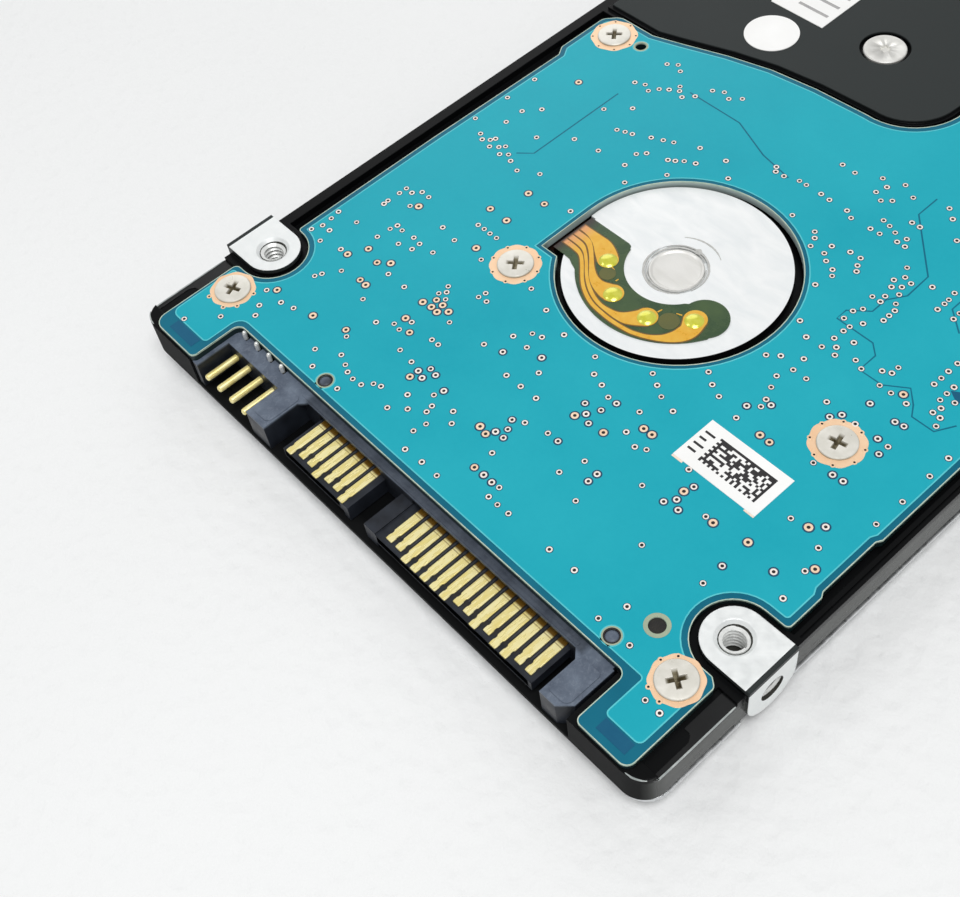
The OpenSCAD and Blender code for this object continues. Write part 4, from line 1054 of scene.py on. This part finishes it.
def slot_cutter(top, depth, lengthwise):
    """Tapered slot that opens upwards at a height: two of them crossed make a Phillips recess."""
    rings = []
    for z, reach, width in ((top - depth, 0.26, 0.2), (top + 0.1, 1.0, 0.52)):
        ring = rectangle(-reach, reach, -width / 2, width / 2)
        rings.append([(x, y, z) if lengthwise else (-y, x, z) for x, y in ring])
    tool = Piece()
    tool.sweep(rings)
    return tool


def lobed_recess(z0, z1):
    """Tool for a six-lobed driver recess, centred on the origin."""
    tool = Piece()
    tool.prism(lobed_circle((0, 0), 0.78, 0.13, 6, 10), z0, z1)
    return tool


def make_board_screws():
    """Pan heads with a cross recess, each turned its own way."""
    head = Piece()
    head.turned([(0, -2), (0.74, -2), (0.74, 0), (1.82, 0), (1.82, 0.15), (1.74, 0.23), (1.45, 0.27),
                 (0, 0.28)], (0, 0, POUR_TOP), 0, 40)
    screws = head.build("pan_head_screws", [M["nickel"]], "screw_nickel")
    for lengthwise in (True, False):
        cut(screws, slot_cutter(BOARD_TOP + 0.3, 0.8, lengthwise).build("slot_tool", []))
    repeated(screws, SCREW_PLACES, SCREW_TURNS)
    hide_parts("board_screws")


def make_cover_screws():
    """Flat heads with a six-lobed recess, on the cover's outside."""
    low, high = mm_box("cover_screws")
    tip = Piece()
    tip.turned([(0, low.z), (1.55, low.z), (1.8, low.z + 0.1), (1.8, low.z + 0.4), (0.74, low.z + 0.4),
                (0.74, high.z), (0, high.z)], (0, 0, 0), 0, 36)
    covers = tip.build("cover_screws_six_lobe", [M["screw"]], "screw_steel")
    cut(covers, lobed_recess(low.z - 0.3, low.z + 0.55).build("lobe_tool", []))
    repeated(covers, COVER_SCREW_PLACES, COVER_SCREW_TURNS)
    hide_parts("cover_screws")


def make_pivot_screw():
    low, high = mm_box("pivot_screw")
    x, y = PIVOT
    pivot = Piece()
    pivot.turned([(0, low.z), (0.85, low.z), (0.85, high.z - 0.35), (2.3, high.z - 0.35),
                  (2.3, high.z - 0.1), (2.2, high.z), (0, high.z)], (x, y, 0), 0, 48)
    pivot = pivot.build("pivot_screw_head", [M["dimple"]], "screw_steel")
    recess = lobed_recess(high.z - 0.3, high.z + 0.2)
    recess.points = [(x + 0.75 * px, y + 0.75 * py, pz) for px, py, pz in recess.points]
    cut(pivot, recess.build("pivot_tool", []))
    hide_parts("pivot_screw")


THREAD_PITCH = 0.5
THREAD_STEPS = 20


def thread(length, place, axis):
    """Helical ridges of a tapped hole that runs from a place along an axis."""
    along = Vector(axis)
    across = Vector((0, 1, 0))
    third = along.cross(across)
    rings = []
    for i in range(int(length / THREAD_PITCH * THREAD_STEPS)):
        turn = 2 * math.pi * i / THREAD_STEPS
        out = across * math.cos(turn) + third * math.sin(turn)
        centre = Vector(place) + along * THREAD_PITCH * i / THREAD_STEPS
        root = centre + out * (TAP_R + 0.05)
        rings.append([root + along * 0.23, root - along * 0.23, centre + out * (TAP_R - 0.27)])
    return rings


def make_threads():
    """Bright thread crests in the mounting holes, board side and flanks."""
    bottom, side = Piece(), Piece()
    for sign in (-1, 1):
        for y in HOLE_YS:
            bottom.sweep(thread(2.9, (sign * HOLE_X, y, BOSS_TOP - 3.2), (0, 0, 1)))
            side.sweep(thread(2.2, (sign * (BASE_HIGH.x - 2.4), y, SIDE_HOLE_Z), (sign, 0, 0)))
    bottom.build("bottom_hole_threads", [M["crest"]], "base")
    side.build("side_hole_threads", [M["crest"]], "base")


def make_rail_lands():
    """Low glossy panels on the casting's two front corners, each with a recess, and pale strips of painted
    highlight along their outer edges and round the corners.
    """
    panel = [(32.95, -39.7, 0.1), (FACE_EDGE_X, -39.7, 0.1), (FACE_EDGE_X, -48.6, 0.5), (34.0, -48.9, 0.2),
             (34.0, -44.6, 0.45), (33.6, -44.0, 0.3), (32.95, -44.0, 0.1)]
    edge = [(FACE_EDGE_X, -39.9, 0.035), (FACE_EDGE_X, -41, 0.06), (FACE_EDGE_X, -47.6, 0.07),
            (FACE_EDGE_X - 0.12, -48.35, 0.08), (FACE_EDGE_X - 0.45, -48.6, 0.04)]
    corner = [(BASE_HIGH.x - 2.5 + 2.25 * math.cos(t), FRONT + 2.4 - 2.25 * math.sin(t), half)
              for t, half in ((0.75, 0.02), (0.95, 0.05), (1.25, 0.07), (1.5, 0.05), (1.57, 0.02))]
    lands, painted_glint = Piece(), Piece()
    for sign in (-1, 1):
        lands.prism(rounded([(sign * x, y, r) for x, y, r in panel]), RAIL_TOP - 0.1, RAIL_TOP + 0.07)
        for path, z in ((edge, RAIL_TOP), (corner, BOARD_LOW.z + 0.12)):
            # painted highlight along the outer edge and round the corner
            painted_glint.prism(band(smooth_path([(sign * x, y, half) for x, y, half in path])), z, z + 0.1)
    lands.build("front_corner_lands", [M["gloss"]], "base", soften=0.05)
    painted_glint.build("painted_edge_highlights", [M["painted_edge_highlight"]], "base", soften=0.02)


make_board_field()
make_inner_planes()
make_traces()
make_vias()
make_screw_pads()
make_locating_pegs()
make_board_screws()
make_cover_screws()
make_pivot_screw()
make_threads()
make_rail_lands()


# ------------------------------------------------------------------ connector

CONTACT_Z = mm_box("signal_pins")[0].z
CONTACT_TOP = CONTACT_Z + 0.12
BACK_Y = mm_box("signal_pins")[1].y
LIP_Z = BOARD_LOW.z - 0.35
LIP_Y = -45.1
PIN_PITCH = 1.27
FIRST_PIN_X = -11.15
SIGNAL_PINS = range(7)
POWER_PINS = range(11, 26)
LONG_PINS = (0, 3, 6, 13, 14, 15, 16, 17, 20, 22, 23)
LONG_TIP = mm_box("power_pins")[0].y
SHORT_TIP = LONG_TIP + 0.48
SLOT_END = -48.35
JUMPERS = [-24.3 + 2 * i for i in range(4)]


def tip_of(pin):
    """Front end of a contact: ground and supply contacts reach further."""
    return LONG_TIP if pin in LONG_PINS else SHORT_TIP


def contact_rings(x, tip):
    """Cross sections of one flat contact, from its bent tip to the back of the undercut."""
    path = [(tip, 0.3, -0.09), (tip + 0.03, 0.37, -0.02), (tip + 0.22, 0.39, 0), (tip + 0.55, 0.39, 0),
            (tip + 0.68, 0.33, 0), (tip + 0.92, 0.33, 0), (tip + 1.08, 0.43, 0), (BACK_Y - 0.1, 0.43, 0)]
    rings = []
    for y, half, drop in path:
        top = CONTACT_TOP + drop
        rings.append([(x - half, y, CONTACT_Z - 0.05), (x - half, y, top - 0.04), (x - half + 0.05, y, top),
                      (x + half - 0.05, y, top), (x + half, y, top - 0.04), (x + half, y, CONTACT_Z - 0.05)])
    return rings


def make_contacts(name, node, pins):
    contacts = Piece()
    for pin in pins:
        x = FIRST_PIN_X + PIN_PITCH * pin
        contacts.sweep(contact_rings(x, tip_of(pin)))
        contacts.block(x - 0.42, x + 0.42, BACK_Y - 0.14, BACK_Y - 0.02, CONTACT_Z, LIP_Z - 0.05, 1)
    piece = contacts.build(name, [M["gold"], M["shaded_gold"]], "gold")
    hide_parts(node)


def make_contact_slots():
    """Black strips of painted shade in the channels between the contacts, with a rib of plastic in each, painted
    in the slate's shaded colour.
    """
    slots = Piece()
    # painted shade: thin black strips lie on the tongue where the channels are
    for pins in (SIGNAL_PINS, POWER_PINS):
        for pin in pins:
            x = FIRST_PIN_X + PIN_PITCH * pin
            slots.block(x - 0.45, x + 0.45, tip_of(pin) - 0.06, SLOT_END + 0.35, CONTACT_Z,
                        CONTACT_Z + 0.008)
        for pin in pins[:-1]:
            x = FIRST_PIN_X + PIN_PITCH * (pin + 0.5)
            slots.block(x - 0.21, x + 0.21, SLOT_END, BACK_Y - 0.1, CONTACT_Z, CONTACT_Z + 0.012)
            slots.prism(circle((x, SLOT_END - 0.12), 0.26, 12), CONTACT_Z, CONTACT_Z + 0.01)
            # ribs in the slate's painted shade colour
            slots.block(x - 0.075, x + 0.075, SLOT_END + 0.25, BACK_Y - 0.1, CONTACT_Z, CONTACT_Z + 0.07, 1)
            slots.block(x - 0.21, x + 0.21, BACK_Y - 0.05, BACK_Y, CONTACT_Z, LIP_Z - 0.05)
    slots.build("contact_slot_shade", [M["slot"], M["shaded_slate"]], "connector_plastic")


def make_jumper_pins():
    """Round-ended posts with their soldered tails behind the bar."""
    low, high = mm_box("jumper_pins")
    radius = 0.36
    centre_z = CONTACT_Z - 0.34
    stops = [(0, 0.45), (0.07, 0.8), (0.18, 0.97), (0.3, 1), (high.y - low.y, 1)]
    posts = Piece()
    for x in JUMPERS:
        posts.sweep([[(x + u, low.y + reach, centre_z + w) for u, w in circle((0, 0), radius * share, 14)]
                     for reach, share in stops])
        posts.turned([(0, 0), (0.24, 0), (0.24, 0.75), (0.19, 0.93), (0.08, 1.02), (0, 1.03)],
                     (x, high.y - 0.15, BOARD_LOW.z - 0.05), 1, 14)
    piece = posts.build("jumper_posts", [M["gold"], M["solder"]], "gold")
    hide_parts("jumper_pins")


def make_housing_trim():
    """Raised lands, angled inner corners and lead-in edges moulded on the connector."""
    trim = Piece()
    top = BOARD_LOW.z
    # low land along the bar
    trim.prism(rounded([(-14.6, -44.95, 0.1), (22.2, -44.95, 0.2), (22.2, -44.55, 0.1),
                        (-14.6, -44.55, 0.1)]), top, top + 0.05)
    # angled corners where the bar meets the two blocks
    for x, side in ((22.9, -1), (-14.2, 1)):
        corner = [(x, LIP_Y + 0.02), (x + side * 0.75, LIP_Y + 0.02), (x, LIP_Y - 0.75)]
        trim.prism(corner, LIP_Z, top - 0.01)
    # lips along the front of both tongues
    for x0, x1 in ((-11.9, -3.3), (1.6, 21.45)):
        trim.prism(rounded([(x0, -49.5, 0.05), (x1, -49.5, 0.35), (x1, -49.42, 0.03), (x0, -49.42, 0.03)]),
                   CONTACT_Z - 1.0, CONTACT_Z + 0.03)
    # raised lands on the two end blocks, pale from the slate's painted top light, with scuffs
    for x0, x1 in ((23.1, 25.4), (-16.8, -14.4)):
        trim.prism(rounded([(x0, -49.2, 0.5), (x1, -49.2, 0.7), (x1, -45.3, 0.4), (x0, -45.3, 0.4)]),
                   top, top + 0.06)
    trim.build("connector_lands", [M["slate"]], "connector_plastic", soften=0.03)


# ------------------------------------------------------------------ spindle motor's outer side

FLEX_Z = mm_box("motor_flex")[1].z
FLEX_LEFT = HUB[0] - 10.7
FLEX_NEAR, FLEX_FAR = HUB[1] - 6.0, HUB[1] - 0.7
TAIL_Z = BOARD_LOW.z - 0.6
FLEX_CENTRE = (-0.3, HUB[1])
LOBE = (6.3, -13.0)
JOINT_SPOTS = [(-5.5, -13.9), (-2.1, -16.7), (2.3, -16.6), (5.8, -13.9)]
CLEAR_SPOTS = [((-4.35, -15.15), 0.82), ((4.1, -15.5), 1.02)]
JOINT_TABS = [
    [(-3.1, -15.3, 0.07), (-3.05, -14.95, 0.05)], [(-4.75, -14.25, 0.07), (-4.2, -14.35, 0.04)],
    [(2.55, -15.4, 0.08), (2.65, -14.9, 0.05)], [(4.5, -14.15, 0.07), (3.95, -14.35, 0.05)],
]
# each copper line as (x, y, half width), from the left edge to its joint
FLEX_LINES = [
    [(-10.7, -12.42, 0.36), (-9.5, -12.45, 0.42), (-8.4, -12.6, 0.6), (-7.4, -12.85, 0.88),
     (-6.5, -13.3, 1.02), (-5.6, -13.85, 1.05)],
    [(-10.7, -13.35, 0.32), (-9, -13.39, 0.31), (-8, -13.88, 0.25), (-7, -14.72, 0.22), (-6, -15.65, 0.27),
     (-5, -16.4, 0.42), (-4, -16.75, 0.62), (-3, -16.75, 0.92), (-2.2, -16.6, 1.1)],
    [(-10.7, -14.12, 0.3), (-9, -14.2, 0.28), (-8, -14.62, 0.18), (-7, -15.42, 0.16), (-6, -16.38, 0.16),
     (-5, -17.18, 0.17), (-4, -17.78, 0.19), (-3, -18.2, 0.2), (-2, -18.42, 0.2), (-1, -18.42, 0.27),
     (0, -18.3, 0.42), (0.9, -17.92, 0.7), (1.7, -17.2, 0.92), (2.2, -16.55, 1.12)],
    [(-10.7, -14.87, 0.26), (-9, -14.92, 0.25), (-8, -15.2, 0.19), (-7, -16.0, 0.18), (-6, -16.97, 0.17),
     (-5, -17.8, 0.18), (-4, -18.38, 0.19), (-3, -18.78, 0.2), (-2, -18.98, 0.2), (0, -19.1, 0.2),
     (2, -18.93, 0.2), (3, -18.65, 0.21), (4, -18.2, 0.24), (5, -17.48, 0.38), (5.7, -16.65, 0.62),
     (6.1, -15.8, 0.84), (6.2, -14.9, 0.95), (5.75, -13.7, 1.15)],
]


def flex_outline():
    """Ribbon that comes in from the left and curls round the hub to a round end."""
    return ([(FLEX_LEFT, FLEX_FAR), (-5.6, FLEX_FAR), (-5.25, FLEX_FAR - 0.12), (-5.05, FLEX_FAR - 0.45)]
            + arc(FLEX_CENTRE, 4.8, 194, 325, 30) + arc(LOBE, 2.35, 172, -38, 28)
            + arc(FLEX_CENTRE, 9.55, 332, 224, 40)
            + [(-7.9, -16.55), (-8.5, -16.25), (-9.2, FLEX_NEAR), (FLEX_LEFT, FLEX_NEAR)])


def make_flex_film():
    film = Piece()
    film.prism(flex_outline(), DISC_TOP, FLEX_Z)
    # the turn down at the left edge and the tail that leaves under the board
    film.block(FLEX_LEFT - 0.12, FLEX_LEFT, FLEX_NEAR, FLEX_FAR, TAIL_Z, FLEX_Z)
    film.block(FLEX_LEFT - 3.3, FLEX_LEFT, FLEX_NEAR, FLEX_FAR, TAIL_Z, TAIL_Z + 0.1)
    film = film.build("motor_flex_film", [M["flex"]], "flex", soften=0.02)
    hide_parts("motor_flex")


def make_flex_lines():
    """Copper lines with a darker gap round each, their tabs, and the clear spots between the joints."""
    gaps, copper, patches = Piece(), Piece(), Piece()
    for i, line in enumerate(FLEX_LINES):
        path = smooth_path(line)
        lift = FLEX_Z + 0.002 * i
        gaps.prism(band([(x, y, half + 0.13) for x, y, half in path]), FLEX_Z, lift + 0.006)
        copper.prism(band(path), FLEX_Z, lift + 0.024)
        copper.prism(circle(line[-1][:2], line[-1][2], 28), FLEX_Z, FLEX_Z + 0.036)
    for spot, radius in CLEAR_SPOTS:
        patches.prism(circle(spot, radius, 28), FLEX_Z, FLEX_Z + 0.03)
    for tab in JOINT_TABS:
        copper.prism(band(tab), FLEX_Z, FLEX_Z + 0.028)
    gaps.build("flex_line_gaps", [M["flex_gap"]], "flex")
    copper.build("flex_copper_lines", [M["flex_copper"]], "flex")
    patches.build("flex_clear_patches", [M["flex_patch"]], "flex")


def make_flex_joints():
    """Low domes of solder under yellow lacquer."""
    domes = Piece()
    for spot in JOINT_SPOTS:
        domes.turned([(0, 0), (0.95, 0), (0.86, 0.07), (0.66, 0.17), (0.4, 0.24), (0.18, 0.27), (0, 0.275)],
                     (*spot, FLEX_Z + 0.02), 0, 28)
    domes = domes.build("lacquered_joints", [M["joint"]], "solder", angle=60)
    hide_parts("flex_solder_joints")


def make_bearing_cap():
    """Pressed rim and shallow dish over the end of the spindle bearing."""
    low, high = mm_box("bearing_cap")
    x, y = HUB
    cap = Piece()
    cap.turned([(0, low.z), (2.72, low.z), (2.72, high.z - 0.12), (2.66, high.z - 0.02), (2.52, high.z),
                (2.42, high.z - 0.03), (2.36, high.z - 0.1), (2.2, high.z - 0.12), (1.2, high.z - 0.11),
                (0, high.z - 0.1)], (x, y, 0), 0, 72)
    cap = cap.build("bearing_cap_dished", [M["dimple"]], "polished_steel", angle=50)
    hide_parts("bearing_cap")


def make_adhesive_marks():
    """Uneven arcs and one blob of dried adhesive round the bearing cap."""
    x, y = HUB
    marks = Piece()
    for centre, radius, start, end, width in (((x, y), 2.86, -160, 40, 0.1), ((x, y), 2.84, 60, 190, 0.12),
                                              ((x, y), 3.12, -20, 150, 0.1), ((x, y), 3.16, 165, 320, 0.13),
                                              ((x + 0.1, y + 0.5), 3.9, 55, 128, 0.09)):
        path = [(px, py, width * (0.35 + 0.65 * math.sin(math.pi * i / 24)) * rng.uniform(0.75, 1.25))
                for i, (px, py) in enumerate(arc(centre, radius, start, end, 24))]
        marks.prism(band(path), DISC_TOP - 0.02, DISC_TOP + 0.02)
    blob = [(px + rng.uniform(-0.05, 0.05), py + rng.uniform(-0.05, 0.05))
            for px, py in circle((x + 0.05, y + 3.05), 0.36, 14)]
    marks.prism(blob, DISC_TOP - 0.02, DISC_TOP + 0.05)
    marks.build("adhesive_marks", [M["adhesive"]], "machined", soften=0.01)


# ------------------------------------------------------------------ labels

MATRIX_COLUMNS, MATRIX_ROWS = 25, 12
MATRIX_CELL = 0.255
PRINT = 0.006


def make_matrix_print():
    """Made-up pattern of square cells with a solid edge on two sides, and four plain bars."""
    low, high = mm_box("matrix_label")
    ink = Piece()
    left, top = low.x + 1.95, high.y - 0.95
    for column in range(MATRIX_COLUMNS):
        for row in range(MATRIX_ROWS):
            solid_edge = row == 0 or column == MATRIX_COLUMNS - 1
            ticks = row == MATRIX_ROWS - 1 and column % 2 == 0 or column == 0 and row % 2 == 0
            inside = 0 < row < MATRIX_ROWS - 1 and 0 < column < MATRIX_COLUMNS - 1
            if solid_edge or ticks or inside and rng.random() < 0.54:
                x, y = left + column * MATRIX_CELL, top - row * MATRIX_CELL
                ink.block(x, x + MATRIX_CELL * 1.01, y - MATRIX_CELL * 1.01, y, high.z, high.z + PRINT)
    for i, reach in enumerate((1.1, 0.75, 1.1, 0.9)):
        y = top - 0.35 - 0.75 * i
        ink.block(low.x + 0.4, low.x + 0.4 + reach, y - 0.14, y + 0.1, high.z, high.z + PRINT)
    ink.build("matrix_print", [M["ink"]], "label")
    backing = Piece()
    backing.block(low.x, low.x + 1.2, low.y - 0.22, low.y + 0.1, POUR_TOP, RING_TOP)
    backing.block(high.x - 1.1, high.x, low.y - 0.18, low.y + 0.1, POUR_TOP, RING_TOP)
    backing.build("label_backing_edges", [M["backing"]], "label")


def make_label_bars():
    """Plain grey bars and rules in place of print on the other labels."""
    low, high = mm_box("info_label")
    bars = Piece()
    for i in range(9):
        y = low.y + 1.6 + 1.9 * i
        reach = rng.uniform(2.6, 5.8)
        bars.block(high.x - 0.7 - reach, high.x - 0.7, y, y + 0.4, high.z, high.z + PRINT)
    bars.block(low.x + 0.5, low.x + 0.75, low.y + 1, high.y - 1, high.z, high.z + PRINT)
    low, high = mm_box("cover_label")
    for i in range(11):
        y = high.y - 8 - 5.4 * i
        reach = rng.uniform(14, 40)
        bars.block(low.x + 5, low.x + 5 + reach, y - 1.1, y, low.z, low.z + 0.008)
    bars.build("label_bars", [M["faint_ink"]], "label")


make_contacts("signal_contacts", "signal_pins", SIGNAL_PINS)
make_contacts("power_contacts", "power_pins", POWER_PINS)
make_contact_slots()
make_jumper_pins()
make_housing_trim()
make_flex_film()
make_flex_lines()
make_flex_joints()
make_bearing_cap()
make_adhesive_marks()
make_matrix_print()
make_label_bars()


# ------------------------------------------------------------------ floor, lights and camera

FLOOR_REACH = 3000
LIGHT_AIM, LIGHT_DISTANCE = (0, -10, 0), 900

def studio_floor():
    """A wide pale sheet with a fine embossed grain."""
    s = Surface("floor_paper", specular=0.25)
    tone = s.noise(160, 2)
    emboss = s.cells(1.5)
    fleck = s.noise(0.5, 3)
    relief = s.plus(s.span(emboss, 0.0, 0.6), s.times(fleck, 0.5))
    paper = s.finish(s.blend(s.middle(tone), srgb(231, 232, 232), srgb(238, 239, 239)),
                     s.middle(fleck, 0.6, 0.75), relief, 1.0, 0.13)
    reach = FLOOR_REACH * MM
    mesh = bpy.data.meshes.new("floor")
    mesh.from_pydata([(x, y, 0) for x, y in rectangle(-reach, reach, -reach, reach)], [], [(0, 1, 2, 3)])
    mesh.materials.append(paper)
    floor = bpy.data.objects.new("floor", mesh)
    bpy.context.scene.collection.objects.link(floor)


def soft_light(name, direction, size, power):
    """A round area light that faces the drive. Lengths in millimetres, power in watts."""
    data = bpy.data.lights.new(name, "AREA")
    data.shape = "DISK"
    data.size = size * MM
    data.energy = power
    light = bpy.data.objects.new(name, data)
    towards = Vector(direction).normalized()
    light.location = (Vector(LIGHT_AIM) + towards * LIGHT_DISTANCE) * MM
    light.rotation_euler = towards.to_track_quat("Z", "Y").to_euler()
    bpy.context.scene.collection.objects.link(light)


def place_camera():
    """Looks down on the connector corner from close by, turned a little about its own axis."""
    azimuth, elevation, roll = (math.radians(a) for a in (56.56, 53.82, -10.25))
    target, distance = Vector((-1.64, -35.01, 0)), 131.44
    back = Vector((math.sin(azimuth) * math.cos(elevation), -math.cos(azimuth) * math.cos(elevation),
                   math.sin(elevation)))
    right = UP.cross(back).normalized()
    up = back.cross(right)
    across = right * math.cos(roll) + up * math.sin(roll)
    upward = up * math.cos(roll) - right * math.sin(roll)
    data = bpy.data.cameras.new("camera")
    data.sensor_width, data.lens = 36, 52.25
    data.clip_start, data.clip_end = 0.005, 20
    camera = bpy.data.objects.new("camera", data)
    turn = Matrix((across, upward, back)).transposed().to_4x4()
    camera.matrix_world = Matrix.Translation((target + back * distance) * MM) @ turn
    bpy.context.scene.collection.objects.link(camera)
    bpy.context.scene.camera = camera


studio_floor()
place_camera()
soft_light("key_light", (0.3, -0.15, 1.0), 500, 4.7)
soft_light("edge_light", (-0.5, -0.35, 0.8), 200, 0.6)
soft_light("back_light", (-0.75, 0.55, 0.42), 700, 1.2)
world = bpy.data.worlds.new("studio")
world.use_nodes = True
world.node_tree.nodes["Background"].inputs["Color"].default_value = (1, 1, 1, 1)
world.node_tree.nodes["Background"].inputs["Strength"].default_value = 0.45
bpy.context.scene.world = world
bpy.context.scene.view_settings.view_transform = "Standard"
